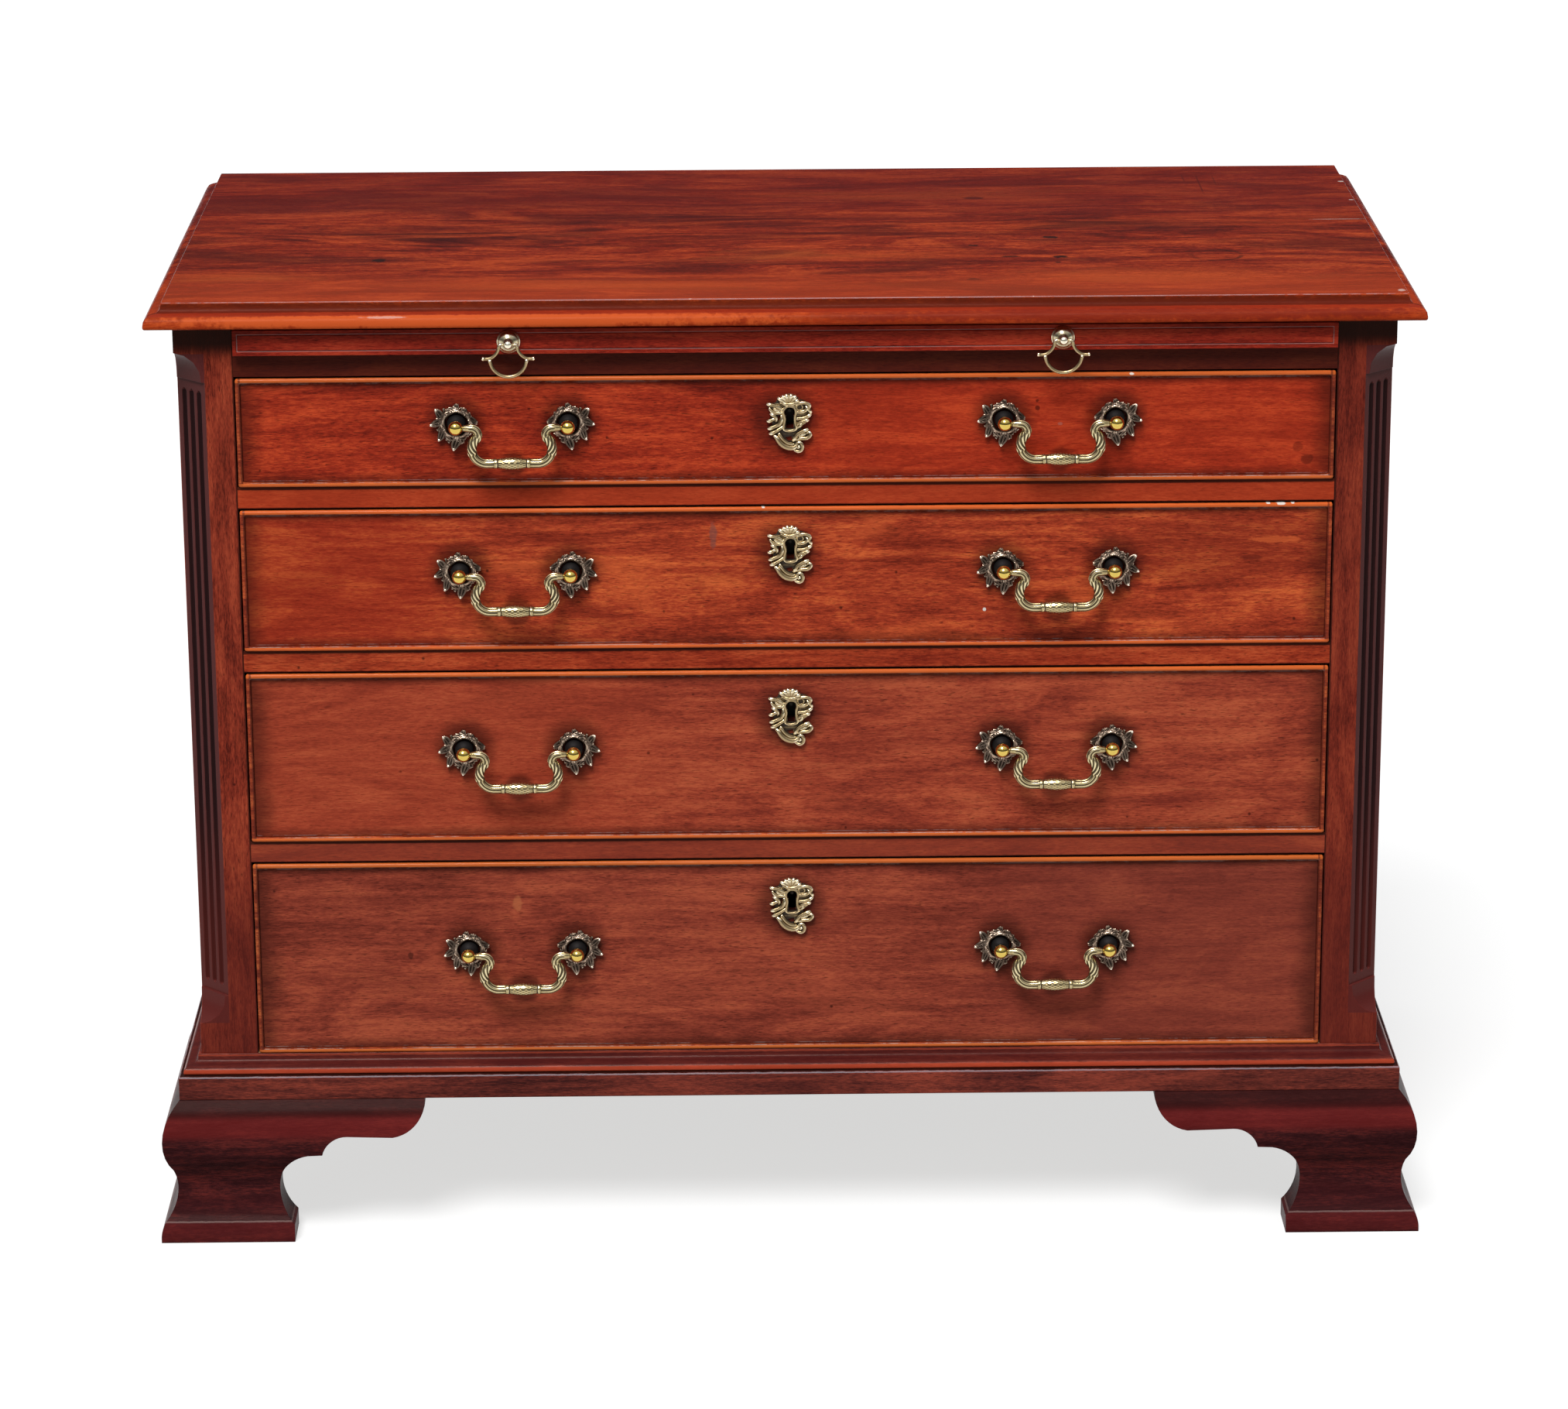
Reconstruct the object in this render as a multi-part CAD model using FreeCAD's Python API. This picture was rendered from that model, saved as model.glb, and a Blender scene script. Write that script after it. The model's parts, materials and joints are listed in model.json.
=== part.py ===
import FreeCAD, Part
import math
import os

# Chest of four graduated drawers under a brushing slide, on ogee bracket feet.
# Millimetres, +Z up, front towards -Y, origin under the middle of the chest at floor level.

# Carcass
carcass_width = 1032.0
carcass_depth = 542.0
side_thickness = 20.0
post_width = 50.0
post_depth = 60.0
rail_height = 19.0
slide_rail_height = 20.0
rail_tenon_length = 14.0
rail_tenon_shoulder = 4.0
rail_tenon_setback = 12.0
side_tongue_length = 8.0
side_tongue_thickness = 7.0
dust_board_thickness = 12.0
dust_tongue_length = 8.0
dust_tongue_thickness = 5.0
housing_depth = 6.0
bottom_thickness = 22.0
back_thickness = 10.0
back_rebate_width = 10.0
back_lap = 8.0
back_board_count = 4
guide_height = 24.0

# Openings for the drawers, numbered from the top
opening_1_height = 96.0
opening_2_height = 126.0
opening_3_height = 153.0
opening_4_height = 176.0

# Top with a moulded edge on three sides
top_thickness = 20.5
top_front_overhang = 22.0
top_side_overhang = 22.5
top_back_overhang = 6.0
top_mould_width = 15.0
top_edge_shares = [
    [(0.0, 1.0)],
    [(0.06, 0.97)],
    [(0.06, 0.88)],
    [(0.18, 0.64), (0.48, 0.56)],
    [(0.56, 0.55)],
    [(0.91, 0.40), (1.0, 0.16)],
    [(0.985, 0.05), (0.94, 0.0)],
]

# Base moulding over a flat fascia
base_moulding_height = 15.5
base_moulding_width = 15.0
base_moulding_shares = [
    [(0.18, 1.0)],
    [(0.18, 0.90)],
    [(0.26, 0.60), (0.55, 0.50)],
    [(0.62, 0.50)],
    [(0.90, 0.38), (1.0, 0.10)],
    [(0.92, 0.0)],
]
fascia_height = 21.5
fascia_width = 19.0
fascia_shares = [[(0.90, 1.0)], [(0.97, 0.97), (1.0, 0.88)], [(1.0, 0.0)]]

# Ogee bracket feet: section through a bracket, then its outline from the front
foot_height = 127.0
foot_flare = 18.5
foot_stock = 24.0
bracket_length = 215.0
ogee_shares = [
    [(0.0, 1.0)],
    [(0.80, 0.765), (0.36, 0.50)],
    [(0.19, 0.36), (0.79, 0.14)],
    [(0.95, 0.085), (1.0, 0.03)],
    [(1.0, 0.0)],
]
bracket_shares = [
    [(1.0, 1.0)],
    [(1.0, 0.96)],
    [(0.956, 0.828), (0.869, 0.754)],
    [(0.682, 0.763)],
    [(0.613, 0.721), (0.580, 0.624)],
    [(0.520, 0.620)],
    [(0.441, 0.551), (0.403, 0.422)],
    [(0.408, 0.265), (0.46, 0.118)],
    [(0.46, 0.0)],
]
back_bracket_length = 150.0
back_bracket_thickness = 18.0
back_bracket_shares = [
    [(1.0, 1.0)],
    [(1.0, 0.78)],
    [(0.62, 0.62), (0.45, 0.0)],
]
foot_block_side = 44.0
foot_block_lift = 4.0

# Canted corners of the posts, with flutes
cant_width = 26.0
cant_step = 3.0
cant_cove_height = 26.0
cant_top_margin = 24.5
cant_bottom_margin = 27.5
cove_middle_share = math.sqrt(0.5)
flute_count = 3
flute_radius = 2.9
flute_pitch = 9.6
flute_margin = 11.0
flute_tip_share = 0.35

# Brushing slide
slide_thickness = 22.0
slide_board_thickness = 16.0
slide_foot_gap = 0.3
slide_head_gap = 3.2
slide_side_gap = 1.0
slide_proud = 10.0
slide_depth = 420.0
slide_front_depth = 32.0
slide_cleat_width = 50.0
slide_board_tongue = 8.0
slide_line_inset = 3.4
slide_line_width = 1.2
slide_line_depth = 0.8
slide_stop_width = 40.0
slide_stop_depth = 20.0
slide_stop_height = 14.0
stop_gap = 0.3

# Drawers
drawer_side_gap = 1.2
drawer_head_gap = 1.5
drawer_foot_gap = 0.4
drawer_rear_gap = 14.0
front_thickness = 22.0
front_lap = 8.0
bead_thickness = 4.0
bead_proud = 3.0
bead_let_in = 6.0
lining_thickness = 10.0
lining_drop = 3.0
back_lining_drop = 8.0
drawer_bottom_thickness = 6.0
drawer_bottom_lift = 9.0
drawer_bottom_groove = 5.0
drawer_runner_width = 14.0
tail_spacing = 48.0
tail_tip_share = 0.62
tail_root_share = 0.46
drawer_stop_spacing = 560.0
drawer_stop_width = 40.0
drawer_stop_depth = 20.0
drawer_stop_height = 5.0

# Locks and escutcheons
lock_offset = 3.0
lock_width = 56.0
lock_height = 46.0
lock_depth = 12.0
lock_wall = 2.5
bolt_body_width = 34.0
bolt_body_height = 12.0
bolt_head_width = 18.0
bolt_thickness = 5.0
bolt_travel = 8.0
bolt_clearance = 0.3
mortise_clearance = 1.0
keyhole_drop = 32.4
keyhole_radius = 4.4
keyhole_slot_width = 6.6
keyhole_slot_drop = 14.0
key_pin_radius = 1.5
key_pin_length = 17.0
escutcheon_width = 38.0
escutcheon_height = 51.0
escutcheon_drop = 14.2
escutcheon_thickness = 2.6
escutcheon_half_shares = [
    [(0.0, 0.0)],
    [(0.30, 0.02), (0.44, 0.12)],
    [(0.76, 0.16), (0.62, 0.31)],
    [(1.0, 0.46), (0.70, 0.62)],
    [(0.98, 0.78), (0.56, 0.85)],
    [(0.40, 0.98), (0.0, 1.0)],
]

# Drawer handles: roses, ball-headed posts and swan-neck bails
handle_offset = 231.5
handle_rise = 7.5
handle_spacing = 94.5
rose_radius = 21.0
rose_waist_share = 0.68
rose_lobe_count = 5
rose_edge_thickness = 1.4
rose_rim_radius = 12.5
rose_rim_height = 6.5
rose_bowl_radius = 8.0
rose_seat_height = 3.0
post_shank_radius = 2.6
post_collar_radius = 6.0
post_neck_radius = 3.4
post_reach = 20.0
post_ball_radius = 6.2
post_hole_clearance = 0.05
post_tail_length = 5.0
bail_pin_radius = 2.1
bail_pin_length = 3.6
bail_rod_radius = 4.0
bail_neck_inset = 13.2
bail_neck_radius = 5.5
bail_elbow_radius = 12.5
bail_turn_angle = 45.0
bail_neck_steps = 3
bail_elbow_steps = 4
bail_grip_length = 25.0
bail_grip_radius = 5.6
grip_share_steps = [(0.0, 1.0), (0.55, 0.72), (1.0, 0.0)]
hinge_clearance = 0.05
shoulder_gap = 0.3

# Pulls on the slide: a domed boss with a ball, and a ring with two flared arms
pull_offset = 233.0
boss_radius = 10.2
boss_rim = 1.5
boss_height = 5.5
boss_shoulder_share = 0.72
boss_shoulder_rise_share = 0.62
boss_shank_radius = 2.2
boss_shank_length = 16.0
boss_neck_radius = 2.6
boss_reach = 12.5
boss_ball_radius = 3.9
ring_pin_radius = 1.3
ring_pin_length = 2.4
ring_lug_radius = 2.4
ring_lug_offset = 7.6
ring_arm_radius = 12.0
ring_arm_rod_radius = 1.55
ring_tip_radius = 2.0
ring_tip_length = 2.4
ring_loop_radius = 15.5
ring_loop_rod_radius = 1.7
ring_arm_steps = 3
ring_loop_steps = 8

# Rounded small pieces are faceted: sides of a rod or ball, and straight steps in an arc
rod_sides = 6
post_sides = 8
boss_sides = 10
arc_facets = 3
cove_facets = 4
flat_share = 1e-6
ball_share_steps = [(-0.75, 0.66), (0.0, 1.0), (0.75, 0.66), (1.0, 0.2)]

# One overrun for every cut that has to pass a face
overrun = 5.0

# Places worked out from the sizes above
Vector = FreeCAD.Vector
half_width = carcass_width / 2
opening_half = half_width - post_width
overall_depth = fascia_width + foot_flare + carcass_depth + top_back_overhang
front_y = fascia_width + foot_flare - overall_depth / 2
back_y = front_y + carcass_depth
back_inner_y = back_y - back_thickness
fascia_y = front_y - fascia_width
fascia_half = half_width + fascia_width
fascia_z = foot_height
base_z = fascia_z + fascia_height
floor_z = base_z + base_moulding_height
opening_heights = {1: opening_1_height, 2: opening_2_height, 3: opening_3_height, 4: opening_4_height}
opening_floor = {}
rail_places = []
level = floor_z
for number in (4, 3, 2, 1):
    opening_floor[number] = level
    level = level + opening_heights[number]
    rail_size = slide_rail_height if number == 1 else rail_height
    rail_places.append((level, rail_size))
    level = level + rail_size
slide_floor_z = level
slide_z = slide_floor_z + slide_foot_gap
top_z = slide_z + slide_thickness + slide_head_gap
drawer_half = opening_half - drawer_side_gap
front_inner_y = front_y + front_thickness
drawer_back_y = back_inner_y - drawer_rear_gap
slide_half = opening_half - slide_side_gap
slide_front_y = front_y - slide_proud
slide_back_y = slide_front_y + slide_depth
pivot_y = front_y - post_reach
pull_y = slide_front_y - boss_reach
pull_z = slide_z + slide_thickness / 2


def block(x0, x1, y0, y1, z0, z1):
    return Part.makeBox(x1 - x0, y1 - y0, z1 - z0, Vector(x0, y0, z0))


def mirror_x(shape):
    return shape.mirror(Vector(0, 0, 0), Vector(1, 0, 0))


def save(name, shapes):
    solids = [solid for shape in shapes for solid in shape.Solids]
    Part.makeCompound(solids).exportStep("parts/" + name + ".step")


def line(start, end):
    return Part.LineSegment(start, end).toShape()


def arc(start, middle, end):
    return Part.Arc(start, middle, end).toShape()


# A traced outline: one point in a step draws a line to it, two draw an arc through the first to the second
def trace(steps, place, facets=0):
    edges = []
    here = place(*steps[0][0])
    for step in steps[1:]:
        there = place(*step[-1])
        if len(step) == 1:
            edges.append(line(here, there))
        elif facets:
            points = arc(here, place(*step[0]), there).discretize(facets + 1)
            edges = edges + [line(a, b) for a, b in zip(points, points[1:])]
        else:
            edges.append(arc(here, place(*step[0]), there))
        here = there
    return edges


def closed_face(steps, place, corners, facets=0):
    edges = trace(steps, place, facets)
    points = [place(*steps[-1][-1])] + corners + [place(*steps[0][0])]
    edges = edges + [line(a, b) for a, b in zip(points, points[1:])]
    return Part.Face(Part.Wire(edges))


def polygon_prism(points, way):
    return Part.Face(Part.makePolygon(points + points[:1])).extrude(way)


# A ring of points round a centre, square to the way that a rod runs
def ring_points(centre, radius, way, across, sides):
    up = way.cross(across)
    turns = [(2 * index + 1) * math.pi / sides for index in range(sides)]
    return [centre + across * (radius * math.cos(turn)) + up * (radius * math.sin(turn)) for turn in turns]


def flat_faces(corners):
    normal = (corners[1] - corners[0]).cross(corners[3] - corners[0])
    size = normal.Length * (corners[2] - corners[0]).Length
    if abs(normal.dot(corners[2] - corners[0])) < flat_share * size:
        return [corners]
    return [corners[:3], [corners[0], corners[2], corners[3]]]


# A closed solid of flat faces through rings of points; with a bore the last ring joins the first
def skin(rings, bored=False):
    outlines = [] if bored else [rings[0], rings[-1]]
    pairs = list(zip(rings, rings[1:]))
    if bored:
        pairs.append((rings[-1], rings[0]))
    for first, second in pairs:
        for index in range(len(first)):
            after = (index + 1) % len(first)
            outlines = outlines + flat_faces([first[index], first[after], second[after], second[index]])
    faces = [Part.Face(Part.makePolygon(outline + outline[:1])) for outline in outlines]
    solid = Part.Solid(Part.Shell(faces))
    if solid.Volume < 0:
        solid.reverse()
    return solid


def turned(base, way, across, profile, sides):
    return skin([ring_points(base + way * along, radius, way, across, sides) for along, radius in profile])


# Corner radius of a faceted hole that leaves a clearance all round a pin
def hole_ring(radius, clearance, sides):
    return (radius + clearance) / math.cos(math.pi / sides)


def ball_profile(along, radius):
    return [(along + radius * out, radius * size) for out, size in ball_share_steps]


# A slab with the same moulding on its front and both ends, mitred at the front corners
def moulded_slab(half_x, front, back, z0, height, width, steps):
    reach = half_x + width + overrun

    def front_place(out, up):
        return Vector(-reach, front - out * width, z0 + up * height)

    def right_place(out, up):
        return Vector(half_x + out * width, front - width - overrun, z0 + up * height)

    corners = [Vector(-reach, back, z0), Vector(-reach, back, z0 + height)]
    lengthwise = closed_face(steps, front_place, corners, arc_facets).extrude(Vector(2 * reach, 0, 0))
    middle = front - width - overrun
    corners = [Vector(-reach, middle, z0), Vector(-reach, middle, z0 + height)]
    right = closed_face(steps, right_place, corners, arc_facets).extrude(Vector(0, back - middle, 0))
    return lengthwise.common(right).common(mirror_x(right))


# The same moulding as three lengths round the carcass, cut at the mitres
def moulding_lengths(z0, height, width, steps):
    slab = moulded_slab(half_width, front_y, back_y, z0, height, width, steps)
    core = block(-half_width, half_width, front_y, back_y + overrun, z0 - overrun, z0 + height + overrun)
    ring = slab.cut(core)
    reach = width + overrun
    wedge = polygon_prism([
        Vector(-half_width, front_y, z0 - overrun),
        Vector(half_width, front_y, z0 - overrun),
        Vector(half_width + reach, front_y - reach, z0 - overrun),
        Vector(-half_width - reach, front_y - reach, z0 - overrun),
    ], Vector(0, 0, height + 2 * overrun))
    return [ring.common(wedge), ring.cut(wedge)]


def make_top():
    half_x = half_width + top_side_overhang - top_mould_width
    front = front_y - top_front_overhang + top_mould_width
    return moulded_slab(half_x, front, back_y + top_back_overhang, top_z, top_thickness, top_mould_width,
                        top_edge_shares)


# A bracket lies along X from its corner at the origin, with its moulded face towards -Y
def make_bracket(mitred):
    start = -foot_flare - overrun

    def section_place(out, up):
        return Vector(start, -out * foot_flare, up * foot_height)

    def outline_place(along, up):
        return Vector(along * bracket_length, start, up * foot_height)

    corners = [Vector(start, foot_stock, 0), Vector(start, foot_stock, foot_height)]
    length = bracket_length + overrun - start
    moulded = closed_face(ogee_shares, section_place, corners, cove_facets).extrude(Vector(length, 0, 0))
    corners = [Vector(start, start, 0), Vector(start, start, foot_height)]
    depth = foot_stock + overrun - start
    outline = closed_face(bracket_shares, outline_place, corners, cove_facets).extrude(Vector(0, depth, 0))
    bracket = moulded.common(outline)
    far = foot_stock + overrun
    if mitred:
        waste = polygon_prism([
            Vector(start, start, -overrun),
            Vector(far, far, -overrun),
            Vector(start - overrun, far, -overrun),
            Vector(start - overrun, start, -overrun),
        ], Vector(0, 0, foot_height + 2 * overrun))
    else:
        waste = block(start - overrun, 0, start - overrun, far, -overrun, foot_height + overrun)
    return bracket.cut(waste)


def make_front_feet():
    corner = Vector(-fascia_half, fascia_y, 0)
    front_bracket = make_bracket(True).translated(corner)
    side_bracket = front_bracket.mirror(corner, Vector(1, -1, 0))
    left = [front_bracket, side_bracket]
    return left + [mirror_x(bracket) for bracket in left]


def make_back_feet():
    side_bracket = make_bracket(False).rotated(Vector(0, 0, 0), Vector(0, 0, 1), -90)
    side_bracket = side_bracket.translated(Vector(-fascia_half, back_y, 0))
    inner_x = -fascia_half + foot_stock

    def back_place(along, up):
        return Vector(inner_x + along * back_bracket_length, back_y - back_bracket_thickness, up * foot_height)

    corners = [back_place(0.0, 0.0), back_place(0.0, 1.0)]
    back_bracket = closed_face(back_bracket_shares, back_place, corners)
    back_bracket = back_bracket.extrude(Vector(0, back_bracket_thickness, 0))
    left = [side_bracket, back_bracket]
    return left + [mirror_x(bracket) for bracket in left]


def make_foot_blocks():
    x0 = -fascia_half + foot_stock
    x1 = x0 + foot_block_side
    y0 = fascia_y + foot_stock
    y1 = back_y - back_bracket_thickness
    left = [block(x0, x1, y0, y0 + foot_block_side, foot_block_lift, foot_height),
            block(x0, x1, y1 - foot_block_side, y1, foot_block_lift, foot_height)]
    return left + [mirror_x(shape) for shape in left]


def make_back_boards():
    half = half_width - side_thickness + back_rebate_width
    pitch = (top_z - foot_height) / back_board_count
    middle_y = back_y - back_thickness / 2
    boards = []
    for index in range(back_board_count):
        z0 = foot_height + index * pitch
        z1 = z0 + pitch
        rear_z0 = z0 + back_lap if index > 0 else z0
        rear_z1 = z1 + back_lap if index < back_board_count - 1 else z1
        inner = block(-half, half, back_inner_y, middle_y, z0, z1)
        rear = block(-half, half, middle_y, back_y, rear_z0, rear_z1)
        boards.append(inner.fuse(rear).removeSplitter())
    return boards


def make_dust_board(rail_top):
    half = half_width - side_thickness + housing_depth
    start = front_y + post_depth
    z0 = rail_top - dust_board_thickness
    tongue_z = z0 + (dust_board_thickness - dust_tongue_thickness) / 2
    board = block(-half, half, start, back_inner_y, z0, rail_top)
    tongue = block(-opening_half, opening_half, start - dust_tongue_length, start,
                   tongue_z, tongue_z + dust_tongue_thickness)
    return board.fuse(tongue).removeSplitter()


def make_rail(z0, height, dust_board):
    y1 = front_y + post_depth
    rail = block(-opening_half, opening_half, front_y, y1, z0, z0 + height)
    reach = opening_half + rail_tenon_length
    tenon = block(-reach, reach, front_y + rail_tenon_setback, y1 - rail_tenon_setback,
                  z0 + rail_tenon_shoulder, z0 + height - rail_tenon_shoulder)
    mortise_half = bolt_head_width / 2 + mortise_clearance
    mortise_y = front_inner_y - lock_depth / 2
    mortise_reach = bolt_thickness / 2 + mortise_clearance
    mortise = block(lock_offset - mortise_half, lock_offset + mortise_half, mortise_y - mortise_reach,
                    mortise_y + mortise_reach, z0 - overrun, z0 + bolt_travel)
    return rail.fuse(tenon).removeSplitter().cut(dust_board).cut(mortise)


def make_bottom_board():
    half = half_width - side_thickness + housing_depth
    z0 = floor_z - bottom_thickness
    main = block(-half, half, front_y + post_depth, back_inner_y, z0, floor_z)
    front = block(-opening_half, opening_half, front_y, front_y + post_depth, z0, floor_z)
    return main.fuse(front).removeSplitter()


def make_side(housed):
    x0 = -half_width
    x1 = x0 + side_thickness
    start = front_y + post_depth
    board = block(x0, x1, start, back_y, foot_height, top_z)
    tongue_x = x0 + (side_thickness - side_tongue_thickness) / 2
    tongue = block(tongue_x, tongue_x + side_tongue_thickness, start - side_tongue_length, start,
                   foot_height, top_z)
    rebate = block(x1 - back_rebate_width, x1 + overrun, back_inner_y, back_y + overrun,
                   foot_height - overrun, top_z + overrun)
    side = board.fuse(tongue).removeSplitter().cut(rebate)
    for piece in housed:
        side = side.cut(piece)
    return side


# Region of the front face beside the outer edge, swept back along the 45 degree cant
def cant_cutter(width, z0, z1, cove_height):
    y = front_y - overrun
    shift = overrun

    def place(inward, z):
        return Vector(-half_width + shift + inward, y, z)

    drop = cove_height * (1 - cove_middle_share)
    middle = width * cove_middle_share
    steps = [
        [(0.0, z0)],
        [(middle, z0 + drop), (width, z0 + cove_height)],
        [(width, z1 - cove_height)],
        [(middle, z1 - drop), (0.0, z1)],
    ]
    if cove_height == 0:
        steps = [[(0.0, z0)], [(width, z0)], [(width, z1)], [(0.0, z1)]]
    corners = [place(-overrun, z1), place(-overrun, z0)]
    sweep = width + 2 * overrun
    return closed_face(steps, place, corners, cove_facets).extrude(Vector(-sweep, sweep, 0))


def make_post(housed):
    post = block(-half_width, -opening_half, front_y, front_y + post_depth, foot_height, top_z)
    low = floor_z + cant_bottom_margin
    high = top_z - cant_top_margin
    post = post.cut(cant_cutter(cant_width - cant_step, low, high, cant_cove_height))
    panel_low = low + cant_cove_height
    panel_high = high - cant_cove_height
    post = post.cut(cant_cutter(cant_width, panel_low, panel_high, 0))
    for index in range(flute_count):
        offset = (index - (flute_count - 1) / 2) * flute_pitch / math.sqrt(2)
        foot = Vector(-half_width + cant_width / 2 + offset, front_y + cant_width / 2 - offset,
                      panel_low + flute_margin)
        length = panel_high - panel_low - 2 * flute_margin
        tip = flute_radius * flute_tip_share
        profile = [(-flute_radius, tip), (0, flute_radius), (length, flute_radius), (length + flute_radius, tip)]
        post = post.cut(turned(foot, Vector(0, 0, 1), Vector(1, 1, 0).normalize(), profile, rod_sides))
    for piece in housed:
        post = post.cut(piece)
    return post


def make_guides():
    y0 = front_y + post_depth
    x0 = opening_half
    x1 = half_width - side_thickness
    spans = [(opening_floor[number], opening_floor[number] + guide_height) for number in opening_floor]
    spans.append((slide_floor_z, top_z))
    right = [block(x0, x1, y0, back_inner_y, z0, z1) for z0, z1 in spans]
    return right + [mirror_x(guide) for guide in right]


def make_stops():
    y0 = front_inner_y + stop_gap
    x0 = (drawer_stop_spacing - drawer_stop_width) / 2
    right = [block(x0, x0 + drawer_stop_width, y0, y0 + drawer_stop_depth, z0, z0 + drawer_stop_height)
             for z0 in opening_floor.values()]
    cleat_x = slide_half - slide_cleat_width / 2
    slide_y = slide_back_y + stop_gap
    right.append(block(cleat_x - slide_stop_width / 2, cleat_x + slide_stop_width / 2, slide_y,
                       slide_y + slide_stop_depth, slide_floor_z, slide_floor_z + slide_stop_height))
    return right + [mirror_x(stop) for stop in right]


def build_carcass():
    dust_boards = [make_dust_board(z0 + height) for z0, height in rail_places]
    rails = [make_rail(z0, height, board) for (z0, height), board in zip(rail_places, dust_boards)]
    bottom = make_bottom_board()
    side = make_side(dust_boards + [bottom])
    post = make_post(rails + [side])
    save("top", [make_top()])
    save("sides", [side, mirror_x(side)])
    save("corner_posts", [post, mirror_x(post)])
    save("back_boards", make_back_boards())
    save("bottom_board", [bottom])
    save("drawer_rails", rails)
    save("dust_boards", dust_boards)
    save("drawer_guides", make_guides())
    save("drawer_stops", make_stops())
    save("base_moulding", moulding_lengths(base_z, base_moulding_height, base_moulding_width,
                                           base_moulding_shares))
    save("plinth_fascia", moulding_lengths(fascia_z, fascia_height, fascia_width, fascia_shares))
    save("front_feet", make_front_feet())
    save("back_feet", make_back_feet())
    save("foot_blocks", make_foot_blocks())


def make_slide_pull(x):
    base = Vector(x, slide_front_y, pull_z)
    out = Vector(0, -1, 0)
    shoulder = boss_radius * boss_shoulder_share
    shoulder_rise = boss_rim + (boss_height - boss_rim) * boss_shoulder_rise_share
    profile = [(-boss_shank_length, boss_shank_radius), (0, boss_shank_radius), (0, boss_radius),
               (boss_rim, boss_radius), (shoulder_rise, shoulder), (boss_height, boss_neck_radius)]
    profile = profile + ball_profile(boss_reach, boss_ball_radius)
    pull = turned(base, out, Vector(1, 0, 0), profile, boss_sides)
    hole = hole_ring(ring_pin_radius, hinge_clearance, rod_sides)
    reach = boss_ball_radius + overrun
    bore = [(-reach, hole), (reach, hole)]
    return pull.cut(turned(Vector(x, pull_y, pull_z), Vector(1, 0, 0), Vector(0, 1, 0), bore, rod_sides))


# Rings of a rod that bends about a centre in the plane of X and Z, between two angles
def bent_rings(centre, bend_radius, start, end, steps, radius):
    rings = []
    for step in range(steps + 1):
        angle = start + (end - start) * step / steps
        outward = Vector(math.cos(angle), 0, math.sin(angle))
        way = Vector(-math.sin(angle), 0, math.cos(angle))
        rings.append(ring_points(centre + outward * bend_radius, radius, way, outward, rod_sides))
    return rings


def make_slide_ring(x):
    centre = Vector(x, pull_y, pull_z)
    loop_centre = centre + Vector(0, 0, -ring_arm_radius)
    loop = skin(bent_rings(loop_centre, ring_loop_radius, -math.pi, 0, ring_loop_steps, ring_loop_rod_radius))
    lug_end = ring_lug_offset + ring_lug_radius
    lug_start = ring_lug_offset - ring_lug_radius
    pin = [(boss_ball_radius - ring_pin_length, ring_pin_radius), (lug_start, ring_pin_radius),
           (ring_lug_offset, ring_lug_radius), (lug_end, ring_pin_radius)]
    arm_centre = centre + Vector(ring_lug_offset + ring_arm_radius, 0, 0)
    arm = bent_rings(arm_centre, ring_arm_radius, math.pi, 3 * math.pi / 2, ring_arm_steps, ring_arm_rod_radius)
    tip = arm_centre + Vector(0, 0, -ring_arm_radius)
    for along, radius in ((ring_tip_length / 2, ring_tip_radius), (ring_tip_length, ring_arm_rod_radius)):
        arm.append(ring_points(tip + Vector(along, 0, 0), radius, Vector(1, 0, 0), Vector(0, 0, -1), rod_sides))
    right = [turned(centre, Vector(1, 0, 0), Vector(0, 1, 0), pin, rod_sides), skin(arm)]
    middle = Vector(x, 0, 0)
    left = [piece.mirror(middle, Vector(1, 0, 0)) for piece in right]
    return loop.fuse(right + left).removeSplitter()


def build_slide():
    z1 = slide_z + slide_thickness
    strip_back = slide_front_y + slide_front_depth
    strip = block(-slide_half, slide_half, slide_front_y, strip_back, slide_z, z1)
    cleat_x = slide_half - slide_cleat_width
    cleat = block(cleat_x, slide_half, strip_back, slide_back_y, slide_z, z1)
    board_half = cleat_x + slide_board_tongue
    board = block(-board_half, board_half, strip_back - slide_board_tongue, slide_back_y,
                  z1 - slide_board_thickness, z1)
    line_outer = slide_line_inset
    line_inner = slide_line_inset + slide_line_width
    groove = block(-slide_half + line_outer, slide_half - line_outer, slide_front_y - overrun,
                   slide_front_y + slide_line_depth, slide_z + line_outer, z1 - line_outer)
    field = block(-slide_half + line_inner, slide_half - line_inner, slide_front_y - 2 * overrun,
                  slide_front_y + overrun, slide_z + line_inner, z1 - line_inner)
    pulls = [make_slide_pull(-pull_offset), make_slide_pull(pull_offset)]
    strip = strip.cut(groove.cut(field)).cut(board)
    for x in (-pull_offset, pull_offset):
        hole = [(-overrun, boss_shank_radius + post_hole_clearance),
                (boss_shank_length, boss_shank_radius + post_hole_clearance)]
        place = Vector(x, slide_front_y, pull_z)
        strip = strip.cut(turned(place, Vector(0, 1, 0), Vector(1, 0, 0), hole, boss_sides))
    save("slide_front", [strip])
    save("slide_board", [board])
    save("slide_cleats", [cleat.cut(board), mirror_x(cleat).cut(board)])
    save("slide_pull_bosses", pulls)
    save("slide_ring_left", [make_slide_ring(-pull_offset)])
    save("slide_ring_right", [make_slide_ring(pull_offset)])


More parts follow.
